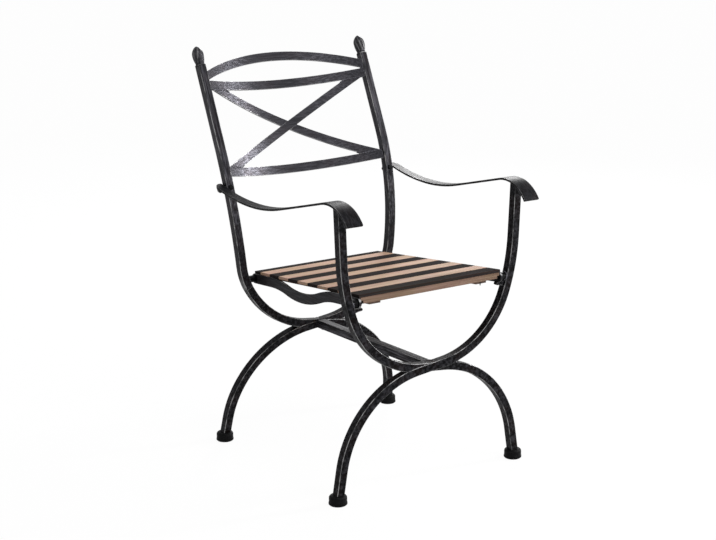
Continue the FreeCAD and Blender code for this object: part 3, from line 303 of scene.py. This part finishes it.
def sawn_wood(name, wood, face, grain, along, roughness, shows, gloss):
    """Planed and oiled or stained hardwood, its grain along one axis of the chair.

    Growth lines run the length of the board and wander, and its cast drifts from pink to straw.
    Fine dark pores lie along the lines. The rounded long edges are darkened as painted shade, for
    the shade lines in the gaps between boards. The sawn ends are dark because end grain drinks the finish.
    """
    material, tree, feed = surface(name, Specular_IOR_Level=gloss)
    place = add(tree, "TexCoord", out="Object")
    shift = add(tree, "ObjectInfo", out="Random")
    board = add(tree, "VectorMath", {0: BOARD_SHIFT, "Scale": shift}, operation="SCALE")
    place = add(tree, "VectorMath", {0: place, 1: board}, operation="ADD")

    def board_marks(length, width, detail, roughness):
        return marks(tree, place, tuple(length if axis == along else width for axis in "XYZ"), (0, 0, 0), detail,
                     roughness)

    wander = board_marks(mm(160), mm(24), 2.0, 0.55)
    lines = board_marks(mm(130), wood.ring, 5.0, 0.6)
    pores = board_marks(mm(7), wood.pore, 2.0, 0.5)
    bent = add(tree, "Math", {0: wander, 1: BEND_IN_FIGURE, 2: lines}, operation="MULTIPLY_ADD")
    figure = add(tree, "MapRange", {"Value": bent, "From Min": 0.52, "From Max": 0.86},
                 interpolation_type="SMOOTHSTEP")
    holes = add(tree, "MapRange", {"Value": pores, "From Min": 0.6, "From Max": 0.72, "To Max": 0.7},
                interpolation_type="SMOOTHSTEP")
    darker = add(tree, "Math", {0: figure, 1: holes}, operation="MAXIMUM")
    shade = add(tree, "Math", {0: darker, 1: shows}, operation="MULTIPLY")
    toned = add(tree, "Mix", {SHARE: shade, BELOW: face, ABOVE: grain}, MIXED, data_type="RGBA")
    clouds = board_marks(mm(60), mm(30), 2.0, 0.5)
    drift = add(tree, "MapRange", {"Value": clouds, "From Min": 0.38, "From Max": 0.62})
    cast = add(tree, "Mix", {SHARE: drift, BELOW: PINK_CAST, ABOVE: STRAW_CAST}, MIXED, data_type="RGBA")
    toned = add(tree, "VectorMath", {0: toned, 1: cast}, operation="MULTIPLY")
    # Painted shade along the edges, where the gaps between boards fall dark
    corner = corner_mask(tree, (0.0, 0.0, 1.0), wood.shade_edge_width)
    edge = add(tree, "Math", {0: corner, 1: PAINTED_SHADE_EDGE_SHARE}, operation="MULTIPLY")
    toned = add(tree, "Mix", {SHARE: edge, BELOW: toned, ABOVE: tuple(wood.edge)}, MIXED, data_type="RGBA")

    # Boards differ a little, and a face that looks along the grain is a sawn end
    differ = add(tree, "MapRange", {"Value": shift, "To Min": 0.93, "To Max": 1.06})
    normal = add(tree, "NewGeometry", out="Normal")
    direction = tuple(1.0 if axis == along else 0.0 for axis in "XYZ")
    facing = add(tree, "VectorMath", {0: normal, 1: direction}, "Value", operation="DOT_PRODUCT")
    turned = add(tree, "Math", {0: facing}, operation="ABSOLUTE")
    end = add(tree, "MapRange", {"Value": turned, "From Min": 0.8, "From Max": 0.95, "To Min": 1.0, "To Max": 0.62})
    level = add(tree, "Math", {0: differ, 1: end}, operation="MULTIPLY")
    relief = add(tree, "Math", {0: holes, 1: PORES_IN_RELIEF, 2: lines}, operation="MULTIPLY_ADD")
    feed(Base_Color=add(tree, "VectorMath", {0: toned, "Scale": level}, operation="SCALE"),
         Roughness=add(tree, "MapRange", {"Value": lines, **OVER_NOISE, "To Min": roughness - 0.06,
                                          "To Max": roughness + 0.08}),
         Normal=add(tree, "Bump", {"Height": relief, "Distance": mm(0.15)}))
    return material


def plated_steel(name, colour, roughness):
    """Electroplated steel, pale and metallic, with fine turning marks and cloudy patches."""
    material, tree, feed = surface(name, Metallic=1.0)
    place = add(tree, "TexCoord", out="Object")
    cloud = marks(tree, place, (mm(6),) * 3)
    turning = marks(tree, place, (mm(0.5),) * 3, detail=2.0)
    level = add(tree, "MapRange", {"Value": cloud, **OVER_NOISE, "To Min": 0.72, "To Max": 1.0})
    feed(Base_Color=add(tree, "VectorMath", {0: colour[:3], "Scale": level}, operation="SCALE"),
         Roughness=add(tree, "MapRange", {"Value": turning, **OVER_NOISE, "To Min": roughness - 0.08,
                                          "To Max": roughness + 0.12}),
         Normal=add(tree, "Bump", {"Height": turning, "Distance": mm(0.03)}))
    return material


# How much paler than the oxide its handled spots are
HANDLED_GAIN = 3.2


def black_oxide(name, colour):
    """Chemically blackened steel: dark, with a dull oily sheen and paler handled spots."""
    material, tree, feed = surface(name, Metallic=0.6, Specular_IOR_Level=0.08)
    place = add(tree, "TexCoord", out="Object")
    spots = marks(tree, place, (mm(3),) * 3, detail=4.0)
    handled = add(tree, "MapRange", {"Value": spots, "From Min": 0.5, "From Max": 0.75, "To Max": 0.6},
                  interpolation_type="SMOOTHSTEP")
    paler = tuple(min(channel * HANDLED_GAIN, 1.0) for channel in colour[:3]) + (1.0,)
    feed(Base_Color=add(tree, "Mix", {SHARE: handled, BELOW: colour, ABOVE: paler}, MIXED, data_type="RGBA"),
         Roughness=add(tree, "MapRange", {"Value": spots, **OVER_NOISE, "To Min": 0.58, "To Max": 0.42}),
         Normal=add(tree, "Bump", {"Height": spots, "Distance": mm(0.06)}))
    return material


# What scuffing adds to each channel of the plastic's colour
SCUFF_GAIN = 0.01


def moulded_plastic(name, colour):
    """Injection-moulded polyethylene, nearly black, with a spark-eroded grain and a scuffed foot."""
    material, tree, feed = surface(name, Specular_IOR_Level=0.05)
    place = add(tree, "TexCoord", out="Object")
    grit = marks(tree, place, (mm(0.7),) * 3, detail=2.0)
    scuff = marks(tree, place, (mm(9), mm(9), mm(2)), detail=4.0, roughness=0.65)
    rubbed = add(tree, "MapRange", {"Value": scuff, "From Min": 0.5, "From Max": 0.75},
                 interpolation_type="SMOOTHSTEP")
    paler = tuple(channel + SCUFF_GAIN for channel in colour[:3]) + (1.0,)
    feed(Base_Color=add(tree, "Mix", {SHARE: rubbed, BELOW: colour, ABOVE: paler}, MIXED, data_type="RGBA"),
         Roughness=add(tree, "MapRange", {"Value": scuff, **OVER_NOISE, "To Min": 0.42, "To Max": 0.58}),
         Normal=add(tree, "Bump", {"Height": grit, "Distance": mm(0.08)}))
    return material


def dress(material, *names):
    """Gives CAD nodes this one material."""
    for name in names:
        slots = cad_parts[name].data.materials
        slots.clear()
        slots.append(material)


def both(*stems):
    """The left and right nodes of each stem."""
    return [f"{stem}_{side}" for stem in stems for side in OUTWARD]


def new_piece(name, mesh, material, smooth=True):
    """A mesh piece of the chair, with one material, that rides on its body."""
    for polygon in mesh.polygons:
        polygon.use_smooth = smooth
    mesh.materials.append(material)
    piece = bpy.data.objects.new(name, mesh)
    bpy.context.scene.collection.objects.link(piece)
    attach(piece, BODY)
    return piece


# Distance under which split vertices are one
JOIN_DISTANCE = 1e-6

# How squarely a face has to look along a direction to be part of the end there, as a cosine
END_FACING = 0.8


def joined_copy(name):
    """A CAD node's mesh with its split vertices joined."""
    made = bmesh.new()
    made.from_mesh(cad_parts[name].data)
    bmesh.ops.remove_doubles(made, verts=made.verts, dist=JOIN_DISTANCE)
    made.normal_update()
    return made


def end_loops(name, direction, reach):
    """Closed outlines of the faces at a node's end that look along direction, in order."""
    direction = Vector(direction).normalized()
    made = joined_copy(name)
    furthest = max(vertex.co.dot(direction) for vertex in made.verts)
    ends = {face for face in made.faces if face.normal.dot(direction) > END_FACING
            and face.calc_center_median().dot(direction) > furthest - reach}
    rim = [edge for edge in made.edges if sum(face in ends for face in edge.link_faces) == 1]
    beside = {}
    for edge in rim:
        for vertex in edge.verts:
            beside.setdefault(vertex, []).append(edge.other_vert(vertex))
    loops = []
    while beside:
        start = min(beside, key=lambda vertex: tuple(vertex.co))
        loop = [start]
        while True:
            onward = [vertex for vertex in beside.get(loop[-1], []) if vertex not in loop]
            beside.pop(loop[-1], None)
            if not onward:
                break
            loop.append(onward[0])
        if len(loop) > 3:
            loops.append([vertex.co.copy() for vertex in loop])
    made.free()
    return loops


# A weld bead: fewest stations round an outline, stations to a ripple, and sides of its ring
BEAD_LEAST_STATIONS = 6
BEAD_STATIONS = 5
BEAD_SIDES = 10

# Its radius between ripples and what a ripple adds, as shares of its half width
BEAD_BETWEEN = 0.82
BEAD_RIPPLE = 0.22

# Its slow swelling along the run, as waves in radians per metre, their start and their share
BEAD_WAVES = ((190, 0.0, 0.1), (83, 1.3, 0.12))


def evenly(points, step):
    """Points every step or so round a closed line through these points."""
    line = points + points[:1]
    lengths = [0.0]
    for first, second in zip(line, line[1:]):
        lengths.append(lengths[-1] + (second - first).length)
    count = max(BEAD_LEAST_STATIONS, round(lengths[-1] / step))
    spaced = []
    segment = 0
    for index in range(count):
        reach = lengths[-1] * index / count
        while segment < len(line) - 2 and lengths[segment + 1] < reach:
            segment += 1
        run = lengths[segment + 1] - lengths[segment]
        share = (reach - lengths[segment]) / run if run else 0.0
        spaced.append(line[segment].lerp(line[segment + 1], share))
    return spaced


def lay_bead(made, loop, normal, fittings):
    """Adds a rippled weld bead round a closed outline, sunk by half into the joint."""
    normal = Vector(normal).normalized()
    stations = evenly(loop, fittings.ripple / BEAD_STATIONS)
    middle = sum(stations, Vector()) / len(stations)
    rings = []
    travelled = 0.0
    for index, point in enumerate(stations):
        ahead = stations[(index + 1) % len(stations)] - stations[index - 1]
        along = ahead.normalized()
        out = along.cross(normal)
        if out.dot(point - middle) < 0:
            out.negate()
        travelled += (stations[(index + 1) % len(stations)] - point).length
        ripple = abs(math.sin(math.pi * travelled / fittings.ripple))
        swell = sum(math.sin(travelled * pace + start) * share for pace, start, share in BEAD_WAVES)
        radius = fittings.weld * (BEAD_BETWEEN + BEAD_RIPPLE * ripple + swell)
        rings.append([made.verts.new(point + out * (math.cos(angle) * radius) + normal * (math.sin(angle) * radius))
                      for angle in (math.tau * side / BEAD_SIDES for side in range(BEAD_SIDES))])
    for index, ring in enumerate(rings):
        after = rings[(index + 1) % len(rings)]
        for side in range(BEAD_SIDES):
            around = (side + 1) % BEAD_SIDES
            made.faces.new((ring[side], ring[around], after[around], after[side]))


def bead_rings(name, loops, material):
    """One piece of beads round these loops, each with its normal."""
    made = bmesh.new()
    for loop, normal in loops:
        lay_bead(made, loop, normal, bpy.context.scene.armchair_fittings)
    bmesh.ops.recalc_face_normals(made, faces=made.faces)
    mesh = bpy.data.meshes.new(name)
    made.to_mesh(mesh)
    made.free()
    new_piece(name, mesh, material)


def weld_seams(name, seams, material):
    """One piece of several beads. A seam is a node, the way its end looks, and its reach back."""
    loops = [(loop, direction) for node, direction, reach in seams for loop in end_loops(node, direction, reach)]
    bead_rings(name, loops, material)


# Angle between the points of a boss's outline, and the share of its radius that they lie past
RIM_STEP = math.radians(11)
RIM_SHARE = 0.9


def spacer_rim(name, outward):
    """Outline of a boss where it meets its tube, outward being 1 or -1 along X."""
    low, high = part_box(name)
    middle = (Vector(low) + Vector(high)) / 2
    points = [vertex.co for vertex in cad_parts[name].data.vertices
              if (vertex.co.x - middle.x) * outward > 0]
    radius = max(math.hypot(point.y - middle.y, point.z - middle.z) for point in points)
    rim = {}
    for point in points:
        if math.hypot(point.y - middle.y, point.z - middle.z) > radius * RIM_SHARE:
            sector = round(math.atan2(point.z - middle.z, point.y - middle.y) / RIM_STEP)
            if sector not in rim or point.x * outward > rim[sector].x * outward:
                rim[sector] = point.copy()
    return [rim[sector] for sector in sorted(rim)]


def axis_frame(name, axis):
    """Foot centre and length of a round node that stands along this axis."""
    axis = Vector(axis).normalized()
    side = Vector((1, 0, 0))
    depth = axis.cross(side)
    points = [vertex.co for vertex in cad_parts[name].data.vertices]
    reaches = {}
    for key, direction in (("axis", axis), ("side", side), ("depth", depth)):
        run = [point.dot(direction) for point in points]
        reaches[key] = (min(run), max(run))
    centre = side * (sum(reaches["side"]) / 2) + depth * (sum(reaches["depth"]) / 2)
    return centre + axis * reaches["axis"][0], reaches["axis"][1] - reaches["axis"][0]


def bud_radius(fittings, height, total):
    """Radius of the plain bud at a height: a straight neck and two arcs that meet at the belly."""
    if height <= fittings.neck_height:
        return fittings.neck
    low = height < fittings.widest
    end_radius = fittings.neck if low else fittings.tip
    rise = fittings.widest - fittings.neck_height if low else total - fittings.widest
    run = fittings.belly - end_radius
    arc = (rise * rise + run * run) / (2 * run)
    reach = min(abs(height - fittings.widest), rise)
    return fittings.belly - arc + math.sqrt(arc * arc - reach * reach)


# Points round a bud and rings up it
BUD_AROUND = 108
BUD_LEVELS = 44

# The flutes run out just below the tip, and deepen quickly at both ends
FLUTE_REACH = 1.02
FLUTE_EASE = 0.6

# How far the lobes' crests are rubbed, as a share of a tube's corner, and how narrow that line is
RIDGE_WAX = 0.4
RIDGE_POWER = 6


def bud_mesh(name, foot, total, axis, fittings, mirrored):
    """A closed bud with twisted lobes that deepen towards the belly."""
    axis = Vector(axis).normalized()
    side = Vector((1, 0, 0))
    depth = axis.cross(side)
    made = bmesh.new()
    ridge = made.verts.layers.float.new("ridge")
    rings = []
    for level in range(BUD_LEVELS + 1):
        height = total * level / BUD_LEVELS
        plain = bud_radius(fittings, height, total)
        rise = max(0.0, (height - fittings.neck_height) / (total - fittings.neck_height))
        deep = math.sin(math.pi * min(1.0, rise * FLUTE_REACH)) ** FLUTE_EASE if rise > 0 else 0.0
        twist = fittings.flute_turn * rise * (-1 if mirrored else 1)
        ring = []
        for step in range(BUD_AROUND):
            angle = math.tau * step / BUD_AROUND
            lobe = abs(math.sin((angle + twist) * fittings.flutes / 2))
            radius = plain * (1 - fittings.flute_depth * deep * (1 - lobe))
            ring.append(made.verts.new(foot + axis * height + side * (radius * math.cos(angle))
                                       + depth * (radius * math.sin(angle))))
            ring[-1][ridge] = RIDGE_WAX * lobe ** RIDGE_POWER if rise > 0 else 0.0
        rings.append(ring)
    for lower, upper in zip(rings, rings[1:]):
        for step in range(BUD_AROUND):
            after = (step + 1) % BUD_AROUND
            made.faces.new((lower[step], lower[after], upper[after], upper[step]))
    made.faces.new(rings[0])
    made.faces.new(rings[-1])
    bmesh.ops.recalc_face_normals(made, faces=made.faces)
    mesh = bpy.data.meshes.new(name)
    made.to_mesh(mesh)
    made.free()
    return mesh


# A clip's outline seen from the front, from its tube inward, as distance from the chair's middle and
# height, then its front and rear faces along Y and the rounding of its edges, all in millimetres
CLIP_OUTLINE = ((214, 445.2), (192.4, 444.6), (189.6, 442.6), (188.6, 439.2), (190.4, 437.2), (200, 436.4),
                (206, 434.8), (212.4, 433.8))
CLIP_FRONT = -307.2
CLIP_REAR = -295.8
CLIP_ROUND = 0.7

# The one screw whose tip shows, under the sitter's left batten, in millimetres
SCREW_PLACE = (148, -297)
SCREW_TOP = 453
SCREW_TIP = 439.5
SCREW_RADIUS = 1.6
SCREW_PITCH = 1.6
SCREW_TAPER = 5

# Rings up the screw and points round it
SCREW_LEVELS = 60
SCREW_SIDES = 18

# Shares of its radius: the thread's middle, its reach to either side of that, and the point's blunt end
SCREW_MIDDLE = 0.82
SCREW_THREAD = 0.18
SCREW_BLUNT = 0.08


def clip_mesh(name, outward):
    """A small bent clip welded to a front tube under its boss."""
    made = bmesh.new()
    ends = [[made.verts.new(mm(x * outward, y, z)) for x, z in CLIP_OUTLINE] for y in (CLIP_FRONT, CLIP_REAR)]
    made.faces.new(ends[0])
    made.faces.new(ends[1][::-1])
    count = len(CLIP_OUTLINE)
    for step in range(count):
        after = (step + 1) % count
        made.faces.new((ends[0][step], ends[1][step], ends[1][after], ends[0][after]))
    bmesh.ops.recalc_face_normals(made, faces=made.faces)
    bmesh.ops.bevel(made, geom=made.edges[:], offset=mm(CLIP_ROUND), segments=2, affect="EDGES")
    mesh = bpy.data.meshes.new(name)
    made.to_mesh(mesh)
    made.free()
    return mesh


def screw_mesh(name):
    """A wood screw's threaded end, pointing down."""
    made = bmesh.new()
    x, y = SCREW_PLACE
    rings = []
    for level in range(SCREW_LEVELS + 1):
        height = SCREW_TIP + (SCREW_TOP - SCREW_TIP) * level / SCREW_LEVELS
        taper = min(1.0, (height - SCREW_TIP) / SCREW_TAPER + SCREW_BLUNT)
        ring = []
        for side in range(SCREW_SIDES):
            angle = math.tau * side / SCREW_SIDES
            turn = math.tau * height / SCREW_PITCH + angle
            radius = SCREW_RADIUS * taper * (SCREW_MIDDLE + SCREW_THREAD * math.cos(turn))
            ring.append(made.verts.new(mm(x + radius * math.cos(angle), y + radius * math.sin(angle), height)))
        rings.append(ring)
    for lower, upper in zip(rings, rings[1:]):
        for side in range(SCREW_SIDES):
            after = (side + 1) % SCREW_SIDES
            made.faces.new((lower[side], lower[after], upper[after], upper[side]))
    made.faces.new(rings[0][::-1])
    made.faces.new(rings[-1])
    mesh = bpy.data.meshes.new(name)
    made.to_mesh(mesh)
    made.free()
    return mesh


class ARMCHAIR_OT_tubes(bpy.types.Operator):
    """Paint the bent square tubes and the stretcher"""
    bl_idname = "armchair.tubes"
    bl_label = "Tubes"

    def execute(self, context):
        paint = context.scene.armchair_paint
        even = mm(7, 7, 7)
        dress(antiqued_enamel("antiqued_enamel_front_tubes", paint, (0, 1, 0), even),
              "front_tube_through", "front_tube_lower", "front_tube_upper")
        dress(antiqued_enamel("antiqued_enamel_rear_legs", paint,
                              (0, math.cos(LEG_RAKE), math.sin(LEG_RAKE)), even), *both("rear_leg"))
        dress(antiqued_enamel("antiqued_enamel_branches", paint, (0, 1, 0), even), *both("rear_branch"))
        # The posts' film thins out downward between these heights, painted shade on their lower part
        dress(antiqued_enamel("antiqued_enamel_posts", paint, (1, 0, 0), brush=mm(3, 3, 60),
                              turn=(-POST_RECLINE, 0, 0), silvered=(0.03, 0.26), metallic=0.5, painted_shade_heights=mm(480, 640)),
              *both("back_post"))
        dress(antiqued_enamel("antiqued_enamel_stretcher", paint, (1, 0, 0), brush=mm(3, 60, 3),
                              silvered=(0.0, 0.3), metallic=0.5), "stretcher")
        return {"FINISHED"}


class ARMCHAIR_OT_bars(bpy.types.Operator):
    """Paint the flat bars of the arms, the back and the seat frame"""
    bl_idname = "armchair.bars"
    bl_label = "Flat bars"

    def execute(self, context):
        paint = context.scene.armchair_paint
        dress(antiqued_enamel("antiqued_enamel_back_bars", paint, (0, math.sin(BACK_SLOPE), math.cos(BACK_SLOPE)),
                              brush=mm(70, 3, 3), turn=(-BACK_SLOPE, 0, 0), silvered=(0.08, 0.22),
                              metallic=0.85, rough=0.3),
              "back_bottom_rail", "back_second_rail", "back_arch_rail", "back_cross_bar",
              "back_cross_half_lower", "back_cross_half_upper")
        dress(antiqued_enamel("antiqued_enamel_arms", paint, (1, 0, 0), brush=mm(3, 60, 8),
                              silvered=(0.01, 0.08), metallic=0.3), *both("arm", "arm_lug"))
        dress(antiqued_enamel("antiqued_enamel_side_rails", paint, (0, 0, 1), brush=mm(6, 40, 4),
                              silvered=(0.03, 0.1), metallic=0.3), *both("seat_side_rail"))
        dress(antiqued_enamel("antiqued_enamel_finial_washers", paint, (0, 1, 0), brush=mm(3, 3, 3),
                              silvered=(0.02, 0.2), metallic=0.4), "finial_washers")
        return {"FINISHED"}


class ARMCHAIR_OT_buds(bpy.types.Operator):
    """Build the fluted buds on the back posts"""
    bl_idname = "armchair.buds"
    bl_label = "Buds"

    def execute(self, context):
        scene = context.scene
        material = antiqued_enamel("antiqued_enamel_buds", scene.armchair_paint, None, brush=mm(2, 2, 9),
                                   turn=(-POST_RECLINE, 0, 0), silvered=(0.04, 0.22), metallic=0.5)
        axis = (0, math.sin(POST_RECLINE), math.cos(POST_RECLINE))
        for side in OUTWARD:
            foot, total = axis_frame(f"finial_{side}", axis)
            mesh = bud_mesh(f"bud_{side}", foot, total, axis, scene.armchair_fittings, side == "right")
            bud = new_piece(f"bud_{side}", mesh, material)
            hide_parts(f"finial_{side}")
        return {"FINISHED"}


# How far back from the furthest point the faces of an end are looked for
BAR_END = mm(4)
UPRIGHT_END = mm(14)
STRETCHER_END = mm(6)


class ARMCHAIR_OT_welds(bpy.types.Operator):
    """Lay the weld beads of the frames, the back and the arms"""
    bl_idname = "armchair.welds"
    bl_label = "Welds"

    def execute(self, context):
        paint = context.scene.armchair_paint
        bead = antiqued_enamel("antiqued_enamel_welds", paint, None, brush=mm(3, 3, 3), silvered=(0.01, 0.12),
                               metallic=0.3)
        back_bead = antiqued_enamel("antiqued_enamel_back_welds", paint, None, brush=mm(3, 3, 3),
                                    silvered=(0.2, 0.5), metallic=0.85, rough=0.3)
        up_the_back = (0, math.sin(BACK_SLOPE), math.cos(BACK_SLOPE))
        down_the_back = tuple(-part for part in up_the_back)
        rail_ends = [(rail, (turn, 0, 0), BAR_END) for turn in (-1, 1)
                     for rail in ("back_bottom_rail", "back_second_rail", "back_arch_rail")]
        weld_seams("welds_back_rails", rail_ends, back_bead)
        weld_seams("welds_cross_bars", [
            ("back_cross_bar", up_the_back, BAR_END), ("back_cross_bar", down_the_back, BAR_END),
            ("back_cross_half_upper", up_the_back, BAR_END), ("back_cross_half_lower", down_the_back, BAR_END)],
            back_bead)
        weld_seams("welds_arms", [("front_tube_through", (0, 0, 1), UPRIGHT_END),
                                  ("front_tube_upper", (0, 0, 1), UPRIGHT_END)], bead)
        bosses = [(spacer_rim(f"seat_spacer_{end}_{side}", outward), (-outward, 0, 0))
                  for end in ("front", "rear") for side, outward in OUTWARD.items()]
        bright = antiqued_enamel("antiqued_enamel_boss_welds", paint, None, brush=mm(2, 2, 2),
                                 silvered=(0.2, 0.8), metallic=0.6)
        bead_rings("welds_bosses", bosses, bright)
        weld_seams("welds_stretcher", [("stretcher", (0, 1, 0), STRETCHER_END),
                                       ("stretcher", (0, -1, 0), STRETCHER_END)], bead)
        return {"FINISHED"}


class ARMCHAIR_OT_fittings(bpy.types.Operator):
    """Finish the bosses, bolts and foot caps, and build the clips and the screw's tip"""
    bl_idname = "armchair.fittings"
    bl_label = "Fittings"

    def execute(self, context):
        fittings = context.scene.armchair_fittings
        zinc = plated_steel("zinc_plated_steel", tuple(fittings.zinc), roughness=0.34)
        oxide = black_oxide("black_oxide_steel", tuple(fittings.oxide))
        dress(zinc, "stretcher_bolt")
        dress(oxide, "seat_washers", "seat_studs", "seat_nuts", "arm_bolts", "arm_nuts", "batten_screws",
              *both("seat_spacer_front", "seat_spacer_rear"))
        clip_paint = antiqued_enamel("antiqued_enamel_clips", context.scene.armchair_paint, (0, 1, 0),
                                     brush=mm(4, 4, 4))
        for side, outward in OUTWARD.items():
            new_piece(f"clip_{side}", clip_mesh(f"clip_{side}", outward), clip_paint,
                      smooth=False)
        new_piece("screw_tip", screw_mesh("screw_tip"), oxide)
        dress(moulded_plastic("moulded_polyethylene", tuple(fittings.plastic)),
              *both("foot_cap_front", "foot_cap_rear"))
        return {"FINISHED"}


class ARMCHAIR_OT_seat(bpy.types.Operator):
    """Finish the slats, the front rail and the battens"""
    bl_idname = "armchair.seat"
    bl_label = "Seat"

    def execute(self, context):
        wood = context.scene.armchair_wood
        dark = sawn_wood("stained_hardwood", wood, tuple(wood.dark), tuple(wood.dark_grain), "X", roughness=0.86,
                         shows=0.7, gloss=0.03)
        pale = sawn_wood("oiled_hardwood", wood, tuple(wood.tan), tuple(wood.tan_grain), "X", roughness=0.55,
                         shows=0.8, gloss=0.1)
        slats = sorted(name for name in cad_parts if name.startswith("seat_slat_"))
        dress(dark, *slats[0::2])
        dress(pale, *slats[1::2])
        for name, along, nodes in (("brown_hardwood_rail", "X", ["seat_front_rail"]),
                                   ("brown_hardwood_batten", "Y", both("seat_batten"))):
            dress(sawn_wood(name, wood, tuple(wood.brown), tuple(wood.brown_grain), along, roughness=0.55,
                            shows=0.85, gloss=0.1), *nodes)
        return {"FINISHED"}


# The photograph's camera, as fitted to the chair's feet, crossings, posts and seat
PHOTO_WIDTH = 716
PHOTO_HEIGHT = 540
FOCAL_PIXELS = 1563.9
PRINCIPAL_PIXEL = (376.2, 266.2)
CAMERA_PLACE = (-2.0746, -2.9956, 1.3475)
CAMERA_HEADING = math.radians(35.55)
CAMERA_DIP = math.radians(13.86)
SENSOR_WIDTH = 36.0


def photo_camera(scene):
    """Places the camera where the photograph was taken from."""
    data = bpy.data.cameras.new("photo_camera")
    data.sensor_width = SENSOR_WIDTH
    data.lens = FOCAL_PIXELS / PHOTO_WIDTH * SENSOR_WIDTH
    data.shift_x = (PHOTO_WIDTH / 2 - PRINCIPAL_PIXEL[0]) / PHOTO_WIDTH
    data.shift_y = (PRINCIPAL_PIXEL[1] - PHOTO_HEIGHT / 2) / PHOTO_WIDTH
    camera = bpy.data.objects.new("photo_camera", data)
    camera.location = CAMERA_PLACE
    camera.rotation_euler = (math.pi / 2 - CAMERA_DIP, 0, -CAMERA_HEADING)
    scene.collection.objects.link(camera)
    scene.camera = camera


def shown_white(tree):
    """1 for the rays that see the background: from the camera, off gloss and through glass."""
    seen, off_gloss, through_glass = (add(tree, "LightPath", out=f"Is {ray} Ray")
                                      for ray in ("Camera", "Glossy", "Transmission"))
    either = add(tree, "Math", {0: seen, 1: off_gloss}, operation="MAXIMUM")
    return add(tree, "Math", {0: either, 1: through_glass}, operation="MAXIMUM")


def lamp(scene, name, kind, energy, place, target, **settings):
    """A lamp at a place that looks at a target."""
    data = bpy.data.lights.new(name, kind)
    data.energy = energy
    for setting, value in settings.items():
        setattr(data, setting, value)
    made = bpy.data.objects.new(name, data)
    made.location = place
    made.rotation_euler = (Vector(target) - Vector(place)).to_track_quat("-Z", "Y").to_euler()
    scene.collection.objects.link(made)


# Half the floor's width and the sun's place, in metres, and the sun's spread
FLOOR_HALF = 40.0
KEY_PLACE = (0.5, -2.2, 3.4)
KEY_SPREAD = math.radians(28)

# The area lamps: name, the setting that holds its power, and its place and size in metres
BOXES = (("low_box", "low", (1.9, -2.7, 0.8), (1.2, 1.4)),
         ("rear_box", "rear", (2.3, 2.3, 2.1), (0.9, 0.9)),
         ("side_strip", "side", (2.7, -0.9, 1.4), (0.32, 1.3)))


class ARMCHAIR_OT_stage(bpy.types.Operator):
    """Set the pale floor, the soft light and the camera"""
    bl_idname = "armchair.stage"
    bl_label = "Stage"

    def execute(self, context):
        scene = context.scene
        studio = scene.armchair_studio
        scene.view_settings.view_transform = "Standard"

        world = bpy.data.worlds.new("studio")
        world.use_nodes = True
        tree = world.node_tree
        strength = add(tree, "MapRange", {"Value": shown_white(tree), "To Min": studio.ambient, "To Max": 1.0})
        tree.links.new(strength, tree.nodes["Background"].inputs["Strength"])
        tree.nodes["Background"].inputs["Color"].default_value = (1, 1, 1, 1)
        scene.world = world

        # The floor shows as white paper and keeps a share of its shadow
        material, tree, _ = surface("white_paper", Roughness=0.9, Base_Color=tuple(studio.paper))
        share = add(tree, "Math", {0: shown_white(tree), 1: 1.0 - studio.shadow}, operation="MULTIPLY")
        paper = tree.nodes["Principled BSDF"].outputs["BSDF"]
        mixed = add(tree, "MixShader", {0: share, 1: paper, 2: add(tree, "Emission", {"Strength": 1.0})})
        tree.links.new(mixed, tree.nodes["Material Output"].inputs["Surface"])
        corners = [(x * FLOOR_HALF, y * FLOOR_HALF, 0) for x, y in ((-1, -1), (1, -1), (1, 1), (-1, 1))]
        mesh = bpy.data.meshes.new("floor")
        mesh.from_pydata(corners, [], [(0, 1, 2, 3)])
        mesh.materials.append(material)
        floor = bpy.data.objects.new("floor", mesh)
        scene.collection.objects.link(floor)

        middle = (CAD_BOX[0] + CAD_BOX[1]) / 2
        lamp(scene, "key", "SUN", studio.key, KEY_PLACE, middle, angle=KEY_SPREAD)
        for name, power, place, (width, height) in BOXES:
            lamp(scene, name, "AREA", getattr(studio, power), place, middle, shape="RECTANGLE", size=width,
                 size_y=height)
        photo_camera(scene)
        return {"FINISHED"}


OPERATORS = (ARMCHAIR_OT_tubes, ARMCHAIR_OT_bars, ARMCHAIR_OT_buds, ARMCHAIR_OT_welds, ARMCHAIR_OT_fittings,
             ARMCHAIR_OT_seat, ARMCHAIR_OT_stage)
GROUPS = {"armchair_paint": ArmchairPaint, "armchair_wood": ArmchairWood, "armchair_fittings": ArmchairFittings,
          "armchair_studio": ArmchairStudio}


class ARMCHAIR_PT_panel(bpy.types.Panel):
    """Buttons and settings of the armchair"""
    bl_label = "Garden Armchair"
    bl_idname = "ARMCHAIR_PT_panel"
    bl_space_type = "VIEW_3D"
    bl_region_type = "UI"
    bl_category = "Armchair"

    def draw(self, context):
        for operator in OPERATORS:
            self.layout.operator(operator.bl_idname)
        for name, group in GROUPS.items():
            box = self.layout.box()
            box.label(text=group.__doc__)
            for setting in group.__annotations__:
                box.prop(getattr(context.scene, name), setting)


def register():
    """Adds the settings, the operators and the panel."""
    for group in GROUPS.values():
        bpy.utils.register_class(group)
    for name, group in GROUPS.items():
        setattr(bpy.types.Scene, name, PointerProperty(type=group))
    for operator in OPERATORS:
        bpy.utils.register_class(operator)
    bpy.utils.register_class(ARMCHAIR_PT_panel)


def unregister():
    """Takes them away in the opposite order."""
    bpy.utils.unregister_class(ARMCHAIR_PT_panel)
    for operator in reversed(OPERATORS):
        bpy.utils.unregister_class(operator)
    for name, group in reversed(GROUPS.items()):
        delattr(bpy.types.Scene, name)
        bpy.utils.unregister_class(group)


def main():
    """Builds every piece."""
    register()
    bpy.ops.armchair.stage()
    bpy.ops.armchair.tubes()
    bpy.ops.armchair.bars()
    bpy.ops.armchair.buds()
    bpy.ops.armchair.welds()
    bpy.ops.armchair.fittings()
    bpy.ops.armchair.seat()
    bpy.context.view_layer.update()


if __name__ == "__main__":
    main()
